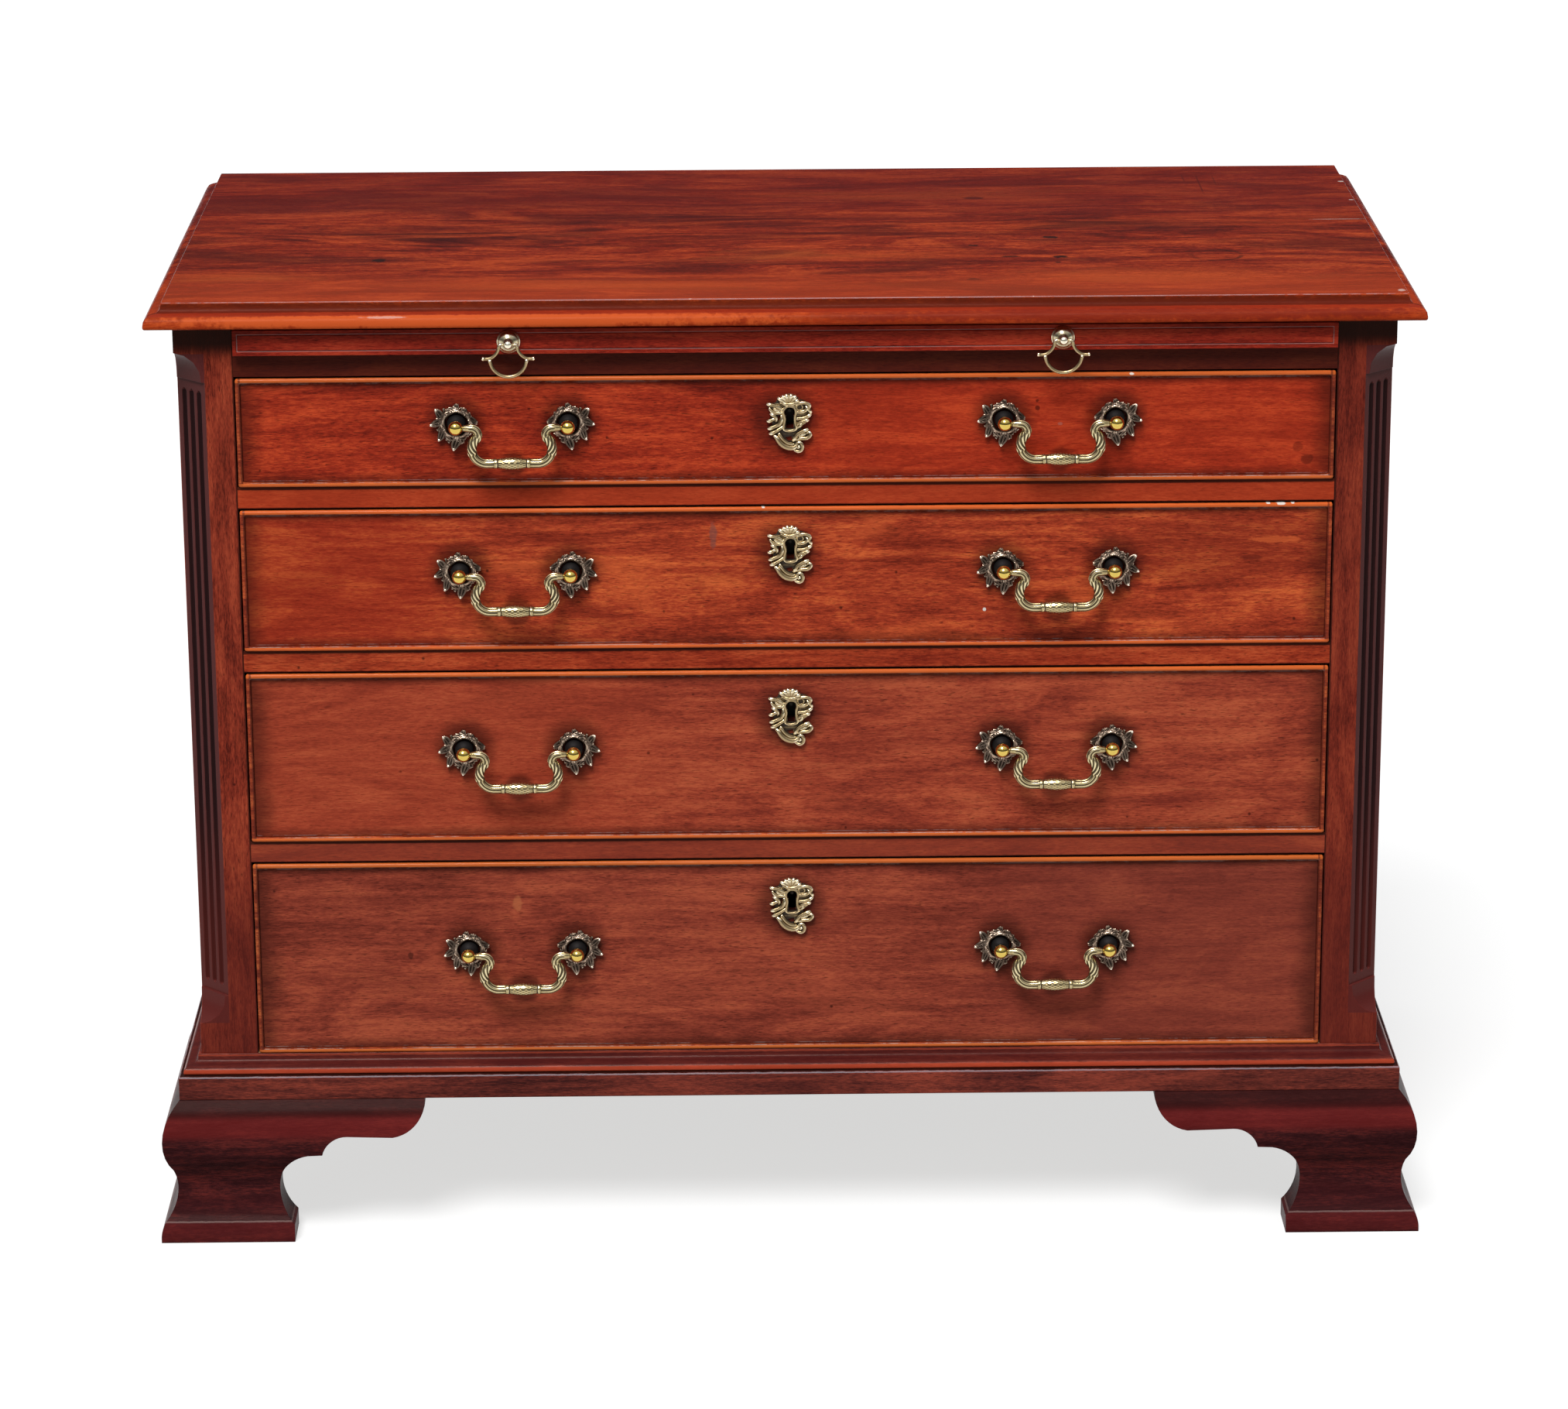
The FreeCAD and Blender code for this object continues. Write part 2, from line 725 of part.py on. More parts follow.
# Four strips with a rounded nose, mitred at the corners of the drawer front
def make_bead(z0, z1):
    nose = bead_thickness / 2
    y0 = front_y - bead_proud
    y1 = front_y + bead_let_in
    section_steps = [[(0.0, y1)], [(0.0, y0 + nose)], [(nose, y0), (bead_thickness, y0 + nose)],
                     [(bead_thickness, y1)]]
    strips = []
    for base, turn in ((z0, 1), (z1, -1)):
        def flat_place(across, y):
            return Vector(-drawer_half, y, base + turn * across)

        length = Vector(2 * drawer_half, 0, 0)
        rod = closed_face(section_steps, flat_place, [], arc_facets).extrude(length)
        inner = base + turn * bead_thickness
        mitre = polygon_prism([
            Vector(-drawer_half, y0, base),
            Vector(drawer_half, y0, base),
            Vector(drawer_half - bead_thickness, y0, inner),
            Vector(-drawer_half + bead_thickness, y0, inner),
        ], Vector(0, y1 - y0, 0))
        strips.append(rod.common(mitre))
    for turn in (1, -1):
        def upright_place(across, y):
            return Vector(turn * (across - drawer_half), y, z0)

        rod = closed_face(section_steps, upright_place, [], arc_facets).extrude(Vector(0, 0, z1 - z0))
        inner = turn * (bead_thickness - drawer_half)
        mitre = polygon_prism([
            Vector(-turn * drawer_half, y0, z0),
            Vector(inner, y0, z0 + bead_thickness),
            Vector(inner, y0, z1 - bead_thickness),
            Vector(-turn * drawer_half, y0, z1),
        ], Vector(0, y1 - y0, 0))
        strips.append(rod.common(mitre))
    return strips


# A row of dovetails on a side lining, from their root to their tip
def make_tails(x0, root_y, tip_y, z0, z1):
    count = max(2, int((z1 - z0) / tail_spacing))
    pitch = (z1 - z0) / count
    tails = []
    for index in range(count):
        middle = z0 + (2 * index + 1) * pitch / 2
        root = tail_root_share * pitch / 2
        tip = tail_tip_share * pitch / 2
        tails.append(polygon_prism([
            Vector(x0, root_y, middle - root),
            Vector(x0, root_y, middle + root),
            Vector(x0, tip_y, middle + tip),
            Vector(x0, tip_y, middle - tip),
        ], Vector(lining_thickness, 0, 0)))
    return tails


def keyhole(z, start_y, end_y):
    length = end_y - start_y
    bore = [(0, keyhole_radius), (length, keyhole_radius)]
    barrel = turned(Vector(lock_offset, start_y, z), Vector(0, 1, 0), Vector(1, 0, 0), bore, post_sides)
    half_slot = keyhole_slot_width / 2
    slot = block(lock_offset - half_slot, lock_offset + half_slot, start_y, end_y, z - keyhole_slot_drop, z)
    return barrel.fuse(slot).removeSplitter()


def make_bolt(lock_top):
    y = front_inner_y - lock_depth / 2
    body_top = lock_top - lock_wall - bolt_travel - bolt_clearance
    body = block(lock_offset - bolt_body_width / 2, lock_offset + bolt_body_width / 2, y - bolt_thickness / 2,
                 y + bolt_thickness / 2, body_top - bolt_body_height, body_top)
    head = block(lock_offset - bolt_head_width / 2, lock_offset + bolt_head_width / 2, y - bolt_thickness / 2,
                 y + bolt_thickness / 2, body_top, lock_top - bolt_clearance)
    return body.fuse(head).removeSplitter()


def make_lock(lock_top, key_z):
    y = front_inner_y - lock_depth / 2
    case = block(lock_offset - lock_width / 2, lock_offset + lock_width / 2, front_inner_y - lock_depth,
                 front_inner_y, lock_top - lock_height, lock_top)
    half_gap = bolt_thickness / 2 + bolt_clearance
    room_half = bolt_body_width / 2 + bolt_clearance
    room_top = lock_top - lock_wall
    room_low = room_top - bolt_travel - bolt_body_height - 2 * bolt_clearance
    room = block(lock_offset - room_half, lock_offset + room_half, y - half_gap, y + half_gap, room_low, room_top)
    slot_half = bolt_head_width / 2 + bolt_clearance
    slot = block(lock_offset - slot_half, lock_offset + slot_half, y - half_gap, y + half_gap,
                 room_top, lock_top + overrun)
    chamber = keyhole(key_z, front_inner_y - lock_depth - overrun, front_inner_y - lock_wall)
    pin = turned(Vector(lock_offset, front_inner_y, key_z), Vector(0, -1, 0), Vector(1, 0, 0),
                 [(0, key_pin_radius), (key_pin_length, key_pin_radius)], rod_sides)
    return case.cut(room).cut(slot).cut(chamber).fuse(pin).removeSplitter()


def make_escutcheon(front_top, key_z):
    low = front_top - escutcheon_drop - escutcheon_height

    def right_place(across, up):
        return Vector(lock_offset + across * escutcheon_width / 2, front_y, low + up * escutcheon_height)

    def left_place(across, up):
        return right_place(-across, up)

    edges = trace(escutcheon_half_shares, right_place, arc_facets)
    edges = edges + trace(escutcheon_half_shares, left_place, arc_facets)
    plate = Part.Face(Part.Wire(Part.__sortEdges__(edges))).extrude(Vector(0, -escutcheon_thickness, 0))
    return plate.cut(keyhole(key_z, front_y - escutcheon_thickness - overrun, front_y + overrun))


# A rose has pointed lobes that rise to a rim, and a bowl inside the rim in which the post stands
def make_rose(x, z):
    base = Vector(x, front_y, z)
    out = Vector(0, -1, 0)
    sides = 2 * rose_lobe_count

    def even_ring(rise, radius):
        return ring_points(base + out * rise, radius, out, Vector(1, 0, 0), sides)

    def lobed_ring(rise):
        tips = even_ring(rise, rose_radius)
        waists = even_ring(rise, rose_radius * rose_waist_share)
        return [tips[index] if index % 2 else waists[index] for index in range(sides)]

    hole = hole_ring(post_shank_radius, post_hole_clearance, sides)
    return skin([
        lobed_ring(0),
        lobed_ring(rose_edge_thickness),
        even_ring(rose_rim_height, rose_rim_radius),
        even_ring(rose_seat_height, rose_bowl_radius),
        even_ring(rose_seat_height, hole),
        even_ring(0, hole),
    ], True)


def make_post_head(x, z, pin_side):
    base = Vector(x, front_y, z)
    tail = front_thickness + post_tail_length
    profile = [(-tail, post_shank_radius), (rose_seat_height, post_shank_radius),
               (rose_seat_height, post_collar_radius), (rose_rim_height, post_neck_radius)]
    profile = profile + ball_profile(post_reach, post_ball_radius)
    head = turned(base, Vector(0, -1, 0), Vector(1, 0, 0), profile, post_sides)
    hole = hole_ring(bail_pin_radius, hinge_clearance, rod_sides)
    bore = [(post_ball_radius - bail_pin_length - shoulder_gap, hole), (post_ball_radius + overrun, hole)]
    return head.cut(turned(Vector(x, pivot_y, z), Vector(pin_side, 0, 0), Vector(0, 1, 0), bore, rod_sides))


# Bail in its hanging place: pins in the two balls, necks that turn back under them, elbows and a thick grip
def make_bail(x, z):
    pivot = Vector(x, pivot_y, z)
    half = handle_spacing / 2
    shoulder = half - post_ball_radius - shoulder_gap
    pin_end = half - post_ball_radius + bail_pin_length
    neck_x = half - bail_neck_inset
    turn = math.radians(bail_turn_angle)
    step = bail_neck_radius + bail_elbow_radius
    neck = pivot + Vector(neck_x, 0, -bail_neck_radius)
    elbow = neck + Vector(-step * math.cos(turn), 0, -step * math.sin(turn))
    grip = Vector(x, pivot_y, elbow.z - bail_elbow_radius)
    along = Vector(1, 0, 0)
    inner = Vector(0, 0, -1)
    reach = bail_grip_length / 2
    swell = [(reach * part, bail_rod_radius + (bail_grip_radius - bail_rod_radius) * rise)
             for part, rise in grip_share_steps]
    rings = [ring_points(grip + along * out, radius, along, inner, rod_sides) for out, radius in swell]
    rings = rings + bent_rings(elbow, bail_elbow_radius, -math.pi / 2, turn, bail_elbow_steps, bail_rod_radius)
    necks = bent_rings(neck, -bail_neck_radius, turn, -math.pi / 2, bail_neck_steps, bail_rod_radius)
    rings = rings + necks[1:]
    ends = [(shoulder, bail_rod_radius), (shoulder, bail_pin_radius), (pin_end, bail_pin_radius)]
    rings = rings + [ring_points(pivot + along * out, radius, along, inner, rod_sides) for out, radius in ends]
    mirrored = [[Vector(2 * x - point.x, point.y, point.z) for point in ring] for ring in rings[:0:-1]]
    return skin(mirrored + rings)


def build_drawer(number):
    name = "drawer_" + str(number)
    opening_top = opening_floor[number] + opening_heights[number]
    low = opening_floor[number] + drawer_foot_gap
    front_top = opening_top - drawer_head_gap
    key_z = front_top - keyhole_drop
    handle_z = (low + front_top) / 2 + handle_rise
    bottom_z = low + drawer_bottom_lift
    bottom_top = bottom_z + drawer_bottom_thickness
    side_top = front_top - lining_drop
    back_start = drawer_back_y - lining_thickness

    # Bottom with its two runners
    inner_half = drawer_half - lining_thickness
    floor_half = inner_half + drawer_bottom_groove
    bottom = block(-floor_half, floor_half, front_inner_y - drawer_bottom_groove, drawer_back_y,
                   bottom_z, bottom_top)
    runner = block(inner_half - drawer_runner_width, inner_half, front_inner_y, back_start, low, bottom_z)

    # Linings, dovetailed into the front and through the back
    side = block(-drawer_half, -inner_half, front_inner_y, back_start, low, side_top)
    tails = make_tails(-drawer_half, front_inner_y, front_y + front_lap, low, side_top)
    tails = tails + make_tails(-drawer_half, back_start, drawer_back_y, bottom_top, side_top - back_lining_drop)
    side = side.fuse(tails).removeSplitter().cut(bottom)
    other_side = mirror_x(side)
    back = block(-drawer_half, drawer_half, back_start, drawer_back_y, bottom_top, side_top - back_lining_drop)
    back = back.cut(side).cut(other_side)

    # Front, cut for the bead, the linings, the bottom, the lock and the handles
    bead = make_bead(low, front_top)
    front = block(-drawer_half, drawer_half, front_y, front_inner_y, low, front_top)
    lock_space = block(lock_offset - lock_width / 2, lock_offset + lock_width / 2, front_inner_y - lock_depth,
                       front_inner_y + overrun, front_top - lock_height, front_top + overrun)
    for piece in bead + [side, other_side, bottom, lock_space]:
        front = front.cut(piece)
    front = front.cut(keyhole(key_z, front_y - overrun, front_inner_y))
    mounts = []
    for middle in (-handle_offset, handle_offset):
        for pin_side in (-1, 1):
            x = middle - pin_side * handle_spacing / 2
            bore_radius = post_shank_radius + post_hole_clearance
            bore = [(-overrun, bore_radius), (front_thickness + overrun, bore_radius)]
            place = Vector(x, front_y, handle_z)
            front = front.cut(turned(place, Vector(0, 1, 0), Vector(1, 0, 0), bore, post_sides))
            mounts = mounts + [make_rose(x, handle_z), make_post_head(x, handle_z, pin_side)]
    save(name + "_front", [front])
    save(name + "_cock_bead", bead)
    save(name + "_linings", [side, other_side, back])
    save(name + "_bottom", [bottom, runner, mirror_x(runner)])
    save(name + "_lock", [make_lock(front_top, key_z)])
    save(name + "_lock_bolt", [make_bolt(front_top)])
    save(name + "_escutcheon", [make_escutcheon(front_top, key_z)])
    save(name + "_handle_mounts", mounts)
    save(name + "_bail_left", [make_bail(-handle_offset, handle_z)])
    save(name + "_bail_right", [make_bail(handle_offset, handle_z)])


os.makedirs("parts", exist_ok=True)
build_carcass()
build_slide()
for number in opening_heights:
    build_drawer(number)
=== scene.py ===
import bpy
import json
import math
from mathutils import Matrix, Vector


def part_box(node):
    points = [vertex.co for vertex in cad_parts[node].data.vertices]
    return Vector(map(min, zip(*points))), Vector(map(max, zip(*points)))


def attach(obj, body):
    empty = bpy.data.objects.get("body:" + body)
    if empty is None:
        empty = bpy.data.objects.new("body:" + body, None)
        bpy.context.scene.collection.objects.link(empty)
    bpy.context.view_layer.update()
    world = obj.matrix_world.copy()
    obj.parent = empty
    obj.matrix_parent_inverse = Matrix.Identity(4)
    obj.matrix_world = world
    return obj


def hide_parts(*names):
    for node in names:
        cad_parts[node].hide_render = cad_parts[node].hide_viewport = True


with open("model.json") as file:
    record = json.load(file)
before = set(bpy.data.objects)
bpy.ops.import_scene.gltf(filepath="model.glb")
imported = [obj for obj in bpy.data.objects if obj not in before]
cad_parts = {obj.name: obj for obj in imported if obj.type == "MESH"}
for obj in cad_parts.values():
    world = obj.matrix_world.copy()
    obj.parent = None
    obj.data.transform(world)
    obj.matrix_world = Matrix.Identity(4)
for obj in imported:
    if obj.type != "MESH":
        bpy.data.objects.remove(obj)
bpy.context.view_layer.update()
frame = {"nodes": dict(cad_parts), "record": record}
scene = bpy.context.scene
scene.view_settings.view_transform = "Standard"
print("frame loaded,", len(frame["nodes"]), "nodes")

mm = 0.001
drawerCount = 4
bodyOf = {node: body for body, nodes in frame["record"]["behaviour"]["bodies"].items() for node in nodes}
slotOf = {part["node"]: part["material_slot"] for part in frame["record"]["subparts"]}


class Tap:  # a shader socket that takes part in sums
    def __init__(self, finish, socket):
        self.finish = finish
        self.socket = socket

    def maths(self, operation, first, second):
        return self.finish.add("ShaderNodeMath", {"operation": operation}, {0: first, 1: second})

    def __add__(self, other):
        return self.maths("ADD", self, other)

    def __sub__(self, other):
        return self.maths("SUBTRACT", self, other)

    def __rsub__(self, other):
        return self.maths("SUBTRACT", other, self)

    def __mul__(self, other):
        return self.maths("MULTIPLY", self, other)

    def __abs__(self):
        return self.maths("ABSOLUTE", self, 0.0)

    __radd__ = __add__
    __rmul__ = __mul__


class Finish:  # one material, or the world, and the nodes that make it
    def __init__(self, name, kind=bpy.data.materials, shader="Principled BSDF"):
        self.material = kind.new(name)
        self.material.use_nodes = True
        self.tree = self.material.node_tree
        self.shader = self.tree.nodes[shader]

    def add(self, kind, settings=None, sockets=None, out=0):
        made = self.tree.nodes.new(kind)
        for key, value in (settings or {}).items():
            if key == "stops":
                ramp = made.color_ramp.elements
                while len(ramp) < len(value):
                    ramp.new(0.5)
                for stop, (place, colour) in zip(ramp, value):
                    stop.position = place
                    stop.color = (*colour, 1.0)
            else:
                setattr(made, key, value)
        for key, value in (sockets or {}).items():
            self.link(made.inputs[key], value)
        return Tap(self, made.outputs[out])

    def link(self, target, value):
        if isinstance(value, Tap):
            self.tree.links.new(value.socket, target)
        elif target.type == "RGBA" and len(value) == 3:
            target.default_value = (*value, 1.0)
        else:
            target.default_value = value

    def feed(self, values):
        for key, value in values.items():
            self.link(self.shader.inputs[key], value)

    def spot(self, scale=(1, 1, 1), shift=(0, 0, 0)):  # object coordinates, stretched
        here = self.add("ShaderNodeTexCoord", out="Object")
        return self.add("ShaderNodeMapping", {}, {"Vector": here, "Location": shift, "Scale": scale})

    def vector(self, operation, *inputs, out=0):
        return self.add("ShaderNodeVectorMath", {"operation": operation}, dict(enumerate(inputs)), out)

    def noise(self, where, scale=1.0, detail=3.0, rough=0.5, bend=0.0, out="Fac"):
        return self.add("ShaderNodeTexNoise", {}, {"Vector": where, "Scale": scale, "Detail": detail,
                                                   "Roughness": rough, "Distortion": bend}, out)

    def ease(self, value, low, high, start=0.0, end=1.0):
        return self.add("ShaderNodeMapRange", {"interpolation_type": "SMOOTHSTEP"},
                        {"Value": value, "From Min": low, "From Max": high, "To Min": start, "To Max": end})

    def strip(self, value, low, high, soft):  # between two limits in mm, with soft edges
        return self.ease(value, (low - soft) * mm, low * mm) * self.ease(value, (high + soft) * mm, high * mm)

    def blend(self, share, first, second):
        return self.add("ShaderNodeMix", {"data_type": "RGBA", "clamp_factor": True},
                        {0: share, 6: first, 7: second}, 2)

    def least(self, first, second):
        return self.add("ShaderNodeMath", {"operation": "MINIMUM"}, {0: first, 1: second})

    def most(self, first, second):
        return self.add("ShaderNodeMath", {"operation": "MAXIMUM"}, {0: first, 1: second})

    def bump(self, height, strength, depth):
        self.feed({"Normal": self.add("ShaderNodeBump", {}, {"Height": height, "Strength": strength,
                                                             "Distance": depth})})


def grainScale(way, along, across):
    return tuple(along if axis == way else across for axis in "XYZ")


def inMetres(values):
    return [value * mm for value in values]


# heights of a post's cant and flutes, and its outer face, in mm
post = {"cant": (192.0, 792.0), "flute": (227.0, 757.0), "fade": 1.0, "sideFrom": 515.3, "sideFull": 515.7}
grain = {  # stretch along and across the fibres, then detail, roughness and bend
    "figure": (7.0, 28.0, 6.0, 0.62, 1.3), "streaks": (13.0, 230.0, 3.0, 0.55, 0.5),
    "fibres": (150.0, 900.0, 3.0, 0.7, 0.0), "pores": (150.0, 1700.0, 1.0, 0.5, 0.0)}


def mahogany(name, look):  # waxed red wood with figure, streaks, pores, marks and dirt, and painted shade and highlights
    wood = Finish(name)
    way = look["way"]
    here = wood.add("ShaderNodeTexCoord", out="Object")
    x, y, z = (wood.add("ShaderNodeSeparateXYZ", {}, {0: here}, axis) for axis in range(3))
    outside = wood.ease(abs(x), post["sideFrom"] * mm, post["sideFull"] * mm)
    reach = {"x": x, "y": y, "z": z, "side": abs(x), "inner": y - outside}  # inner: depth, but not outside
    for axis in ("cant", "flute"):  # across a post, on part of its height only
        reach[axis] = abs(x) * wood.strip(z, *post[axis], post["fade"])
    drift = wood.noise(wood.spot(grainScale(way, 1.8, 7.0), look["shift"]), 1.0, 2.0, out="Color")
    drift = wood.vector("MULTIPLY_ADD", drift, (look["wave"],) * 3, here)

    def stretched(along, across, detail, rough, bend):  # noise drawn out along the grain
        place = wood.add("ShaderNodeMapping", {}, {"Vector": drift, "Scale": grainScale(way, along, across),
                                                   "Location": look["shift"], "Rotation": look["turn"]})
        return wood.noise(place, 1.0, detail, rough, bend)

    def away(where, centre, size):  # distance from a centre as a share of a size, both in mm
        offset = wood.vector("SUBTRACT", where, inMetres(centre))
        return wood.vector("LENGTH", wood.vector("DIVIDE", offset, inMetres(size)), out="Value")

    def marked(colour, marks):  # knots, stains, scars and nicks, and painted highlights and shade
        for centre, size, tint, strength in marks:
            far = away(here, centre, size) + (ragged - 0.5) * 1.4
            colour = wood.blend(wood.ease(far, 1.0, 0.6) * strength, colour, tint)
        return colour

    figure, streaks, fibres, pores = (stretched(*values) for values in grain.values())
    flame = stretched(3.4, 13.0, look["flameDetail"], 0.6, 1.6)
    tone = wood.ease(figure, 0.25, 0.75) * 0.46
    for fine, share in ((streaks, 0.22), (fibres, 0.32)):
        tone = tone + wood.ease(fine, 0.3, 0.7) * share
    stops = [(0.18, look["dark"]), (0.5, look["mid"]), (0.82, look["light"])]
    colour = wood.add("ShaderNodeValToRGB", {"stops": stops}, {"Fac": tone})
    colour = wood.blend(wood.ease(flame, 0.48, 0.7) * look["flame"], colour, look["dark"])
    colour = wood.blend(wood.ease(flame, 0.48, 0.28) * look["glow"], colour, look["light"])
    for centre, size, tint, strength in look["clouds"]:  # broad soft flames
        far = away(drift, centre, size) + (figure - 0.5) * 1.8
        colour = wood.blend(wood.ease(far, 1.1, 0.2) * strength, colour, tint)
    dashes = wood.ease(pores, 0.6, 0.7)
    colour = wood.blend(dashes * look["poreShow"], colour, look["pore"])
    cells = wood.add("ShaderNodeTexVoronoi", {"feature": "F1"},
                     {"Vector": wood.spot(shift=look["shift"]), "Scale": look["spotScale"]}, "Distance")
    specks = wood.ease(cells, look["spotSize"], look["spotSize"] * 0.35)
    colour = wood.blend(specks * 0.75, colour, look["pore"])
    dull = wood.noise(wood.spot(), 14.0, 4.0, 0.65)
    ragged = wood.noise(wood.spot(), 110.0, 3.0, 0.7)
    colour = marked(colour, look["marks"])
    for centre, radius, wide, tint, strength in look["rings"]:  # the stain of a wet glass
        far = wood.vector("DISTANCE", here, inMetres(centre), out="Value")
        stain = wood.ease(abs(far - radius * mm), wide * mm, wide * 0.3 * mm) * wood.ease(dull, 0.42, 0.6)
        colour = wood.blend(stain * strength, colour, tint)
    for axis, low, high, soft, tint, strength in look["bands"]:  # tinted strips: rubbed and dirty ones, and painted shade and highlights
        edge = reach[axis] + (ragged - 0.5) * mm
        colour = wood.blend(wood.strip(edge, low, high, soft) * strength, colour, tint)
    if "edges" in look:  # a board's own rim: it darkens along it, grime with painted shade, and a pale line may follow it, worn and partly a painted highlight
        low, high, half = inMetres(look["edges"])
        sides, rims = half - abs(x), wood.least(z - low, high - z)
        inset = wood.least(sides, rims)
        if look["dirtWide"]:
            # a thin dark line right at the rim: painted shade in the crease beside the bead
            dirt = wood.ease(inset, 0.0003, 0.0012, 1.0, 0.0)
            # darker towards the rims, as grime and painted shade
            for gap, patchy, times, share in ((sides, 0.03, 3, 0.75), (rims, 0.012, 1.3, 0.65)):
                edge = gap + (dull - 0.5) * patchy
                dirt = wood.most(dirt, wood.ease(edge, 0.0, look["dirtWide"] * times * mm, 1.0, 0.0) * share)
            # darker round the brass: stains, with painted shade round the roses and under the bail
            for sideX, spotZ, wide in look["brass"]:
                offset = wood.add("ShaderNodeCombineXYZ", {}, {0: abs(x) - sideX * mm, 2: z - spotZ * mm})
                far = wood.vector("LENGTH", offset, out="Value") + (dull - 0.5) * 0.014
                dirt = wood.most(dirt, wood.ease(far, wide * mm, wide * 0.5 * mm) * 0.75)
            colour = wood.blend(dirt * 0.85, colour, look["pore"])
        near, far, tint, strength, broken = look["rimLine"]
        line = wood.strip(inset, near, far, 0.3)
        if broken:
            patches = wood.ease(ragged * 0.5 + dull * 0.5, 0.46, 0.58)
            line = line * wood.ease(rims - sides, 0.002, -0.002) * patches
        colour = wood.blend(line * strength, colour, tint)
    wood.feed({"Base Color": marked(colour, look["chips"]),
               "Roughness": look["rough"] + dull * 0.16 + dashes * 0.2 + specks * 0.2,
               "Specular IOR Level": look["shine"], "Specular Tint": (1.0, 0.6, 0.45),
               "Coat Weight": look["coat"], "Coat Roughness": 0.16, "Coat IOR": 1.4})
    wood.bump(fibres * 0.5 - dashes * 0.6 - specks * 0.8, 0.16, 0.0006)
    return wood.material


# the pale colour marks wear and also painted highlights; the dark one marks knots and stains and also painted
# shade
wearAndHighlightPale, nickPale, stainAndShade = (0.42, 0.40, 0.38), (0.66, 0.62, 0.56), (0.014, 0.004, 0.003)
plainLook = {  # places and widths in mm
    "way": "X", "turn": (0, 0, 0), "shift": (0.0, 0.0, 0.0), "wave": 0.03, "flame": 0.28, "glow": 0.22,
    "flameDetail": 2.5, "pore": (0.022, 0.004, 0.003), "poreShow": 0.6, "spotScale": 26.0, "spotSize": 0.05,
    "shine": 0.07, "coat": 0.02, "rough": 0.22, "bands": (), "marks": (), "chips": (), "clouds": (),
    "rings": (), "dirtWide": 0.0, "brass": (), "rimLine": (0.0, 0.1, wearAndHighlightPale, 0.0, True)}


def woodLook(name, dark, mid, light, **changes):
    return mahogany(name, {**plainLook, "dark": dark, "mid": mid, "light": light, **changes})


def letGo():  # nothing selected, no piece in edit mode
    if bpy.context.object and bpy.context.object.mode != "OBJECT":
        bpy.ops.object.mode_set(mode="OBJECT")
    bpy.ops.object.select_all(action="DESELECT")


def takeUp(piece):
    letGo()
    piece.select_set(True)
    bpy.context.view_layer.objects.active = piece


def editAll(piece):
    takeUp(piece)
    bpy.ops.object.mode_set(mode="EDIT")
    bpy.ops.mesh.select_mode(type="VERT")
    bpy.ops.mesh.select_all(action="SELECT")


def applyMod(piece, kind, **settings):
    takeUp(piece)
    made = piece.modifiers.new(kind.title(), kind)
    for key, value in settings.items():
        setattr(made, key, value)
    bpy.ops.object.modifier_apply(modifier=made.name)


def smoothed(piece, angle=None):  # smooth everywhere, or only where faces meet at less than an angle
    takeUp(piece)
    if angle is None:
        bpy.ops.object.shade_smooth()
    else:
        bpy.ops.object.shade_smooth_by_angle(angle=math.radians(angle))


def roundOff(piece, width, limit=40.0):  # eased arrises and even shading
    applyMod(piece, "BEVEL", width=width * mm, segments=2, limit_method="ANGLE",
             angle_limit=math.radians(limit), use_clamp_overlap=True, miter_outer="MITER_ARC")
    smoothed(piece, 40.0)
    applyMod(piece, "WEIGHTED_NORMAL", keep_sharp=True)


def seat(piece, node):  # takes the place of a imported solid
    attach(piece, bodyOf[node])
    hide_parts(node)


flatAngle = math.radians(0.4)


def easedCopy(node, width):  # a board with eased edges in place of its sharp solid
    piece = bpy.data.objects.new(node + "_wood", frame["nodes"][node].data.copy())
    scene.collection.objects.link(piece)
    editAll(piece)
    bpy.ops.mesh.remove_doubles(threshold=0.00001)
    bpy.ops.mesh.select_mode(type="FACE")
    bpy.ops.mesh.select_all(action="DESELECT")
    bpy.ops.mesh.select_interior_faces()
    bpy.ops.mesh.delete(type="FACE")
    bpy.ops.mesh.select_all(action="SELECT")
    bpy.ops.mesh.dissolve_limited(angle_limit=flatAngle)
    letGo()
    roundOff(piece, width)
    seat(piece, node)
    return piece


def dress(piece, material):
    piece.data.materials.clear()
    piece.data.materials.append(material)
    return piece


def healed(piece):  # doubled points merged, faces outward
    editAll(piece)
    bpy.ops.mesh.remove_doubles(threshold=0.000001)
    bpy.ops.mesh.normals_make_consistent(inside=False)
    letGo()
    return piece


def pathLine(kind, points):  # a bare curve through (x, y, lift, radius) in mm
    letGo()
    bpy.ops.curve.primitive_nurbs_path_add()
    line = bpy.context.object
    line.data.splines.clear()
    spline = line.data.splines.new(kind)
    spline.points.add(len(points) - 1)
    for point, (x, y, lift, radius) in zip(spline.points, points):
        point.co = (x * mm, y * mm, lift * mm, 1.0)
        point.radius = radius
    return line


def flatLine(points):
    line = pathLine("POLY", [(x, y, 0.0, 1.0) for x, y in points])
    line.data.dimensions = "2D"
    return line


def stroke(points, cyclic=False, rings=3, steps=4):  # a round scroll
    line = pathLine("NURBS", points)
    spline = line.data.splines[0]
    spline.order_u = 3
    spline.use_cyclic_u = cyclic
    spline.use_endpoint_u = not cyclic
    line.data.bevel_depth = mm
    line.data.bevel_resolution = rings
    line.data.resolution_u = steps
    line.data.use_fill_caps = True
    bpy.ops.object.convert(target="MESH")
    return healed(bpy.context.object)


def prism(points, depth):  # a flat shape in mm, filled and drawn out along Z
    shape = flatLine(points)
    shape.data.splines[0].use_cyclic_u = True
    shape.data.fill_mode = "BOTH"
    shape.data.extrude = depth / 2 * mm
    bpy.ops.object.convert(target="MESH")
    return healed(bpy.context.object)


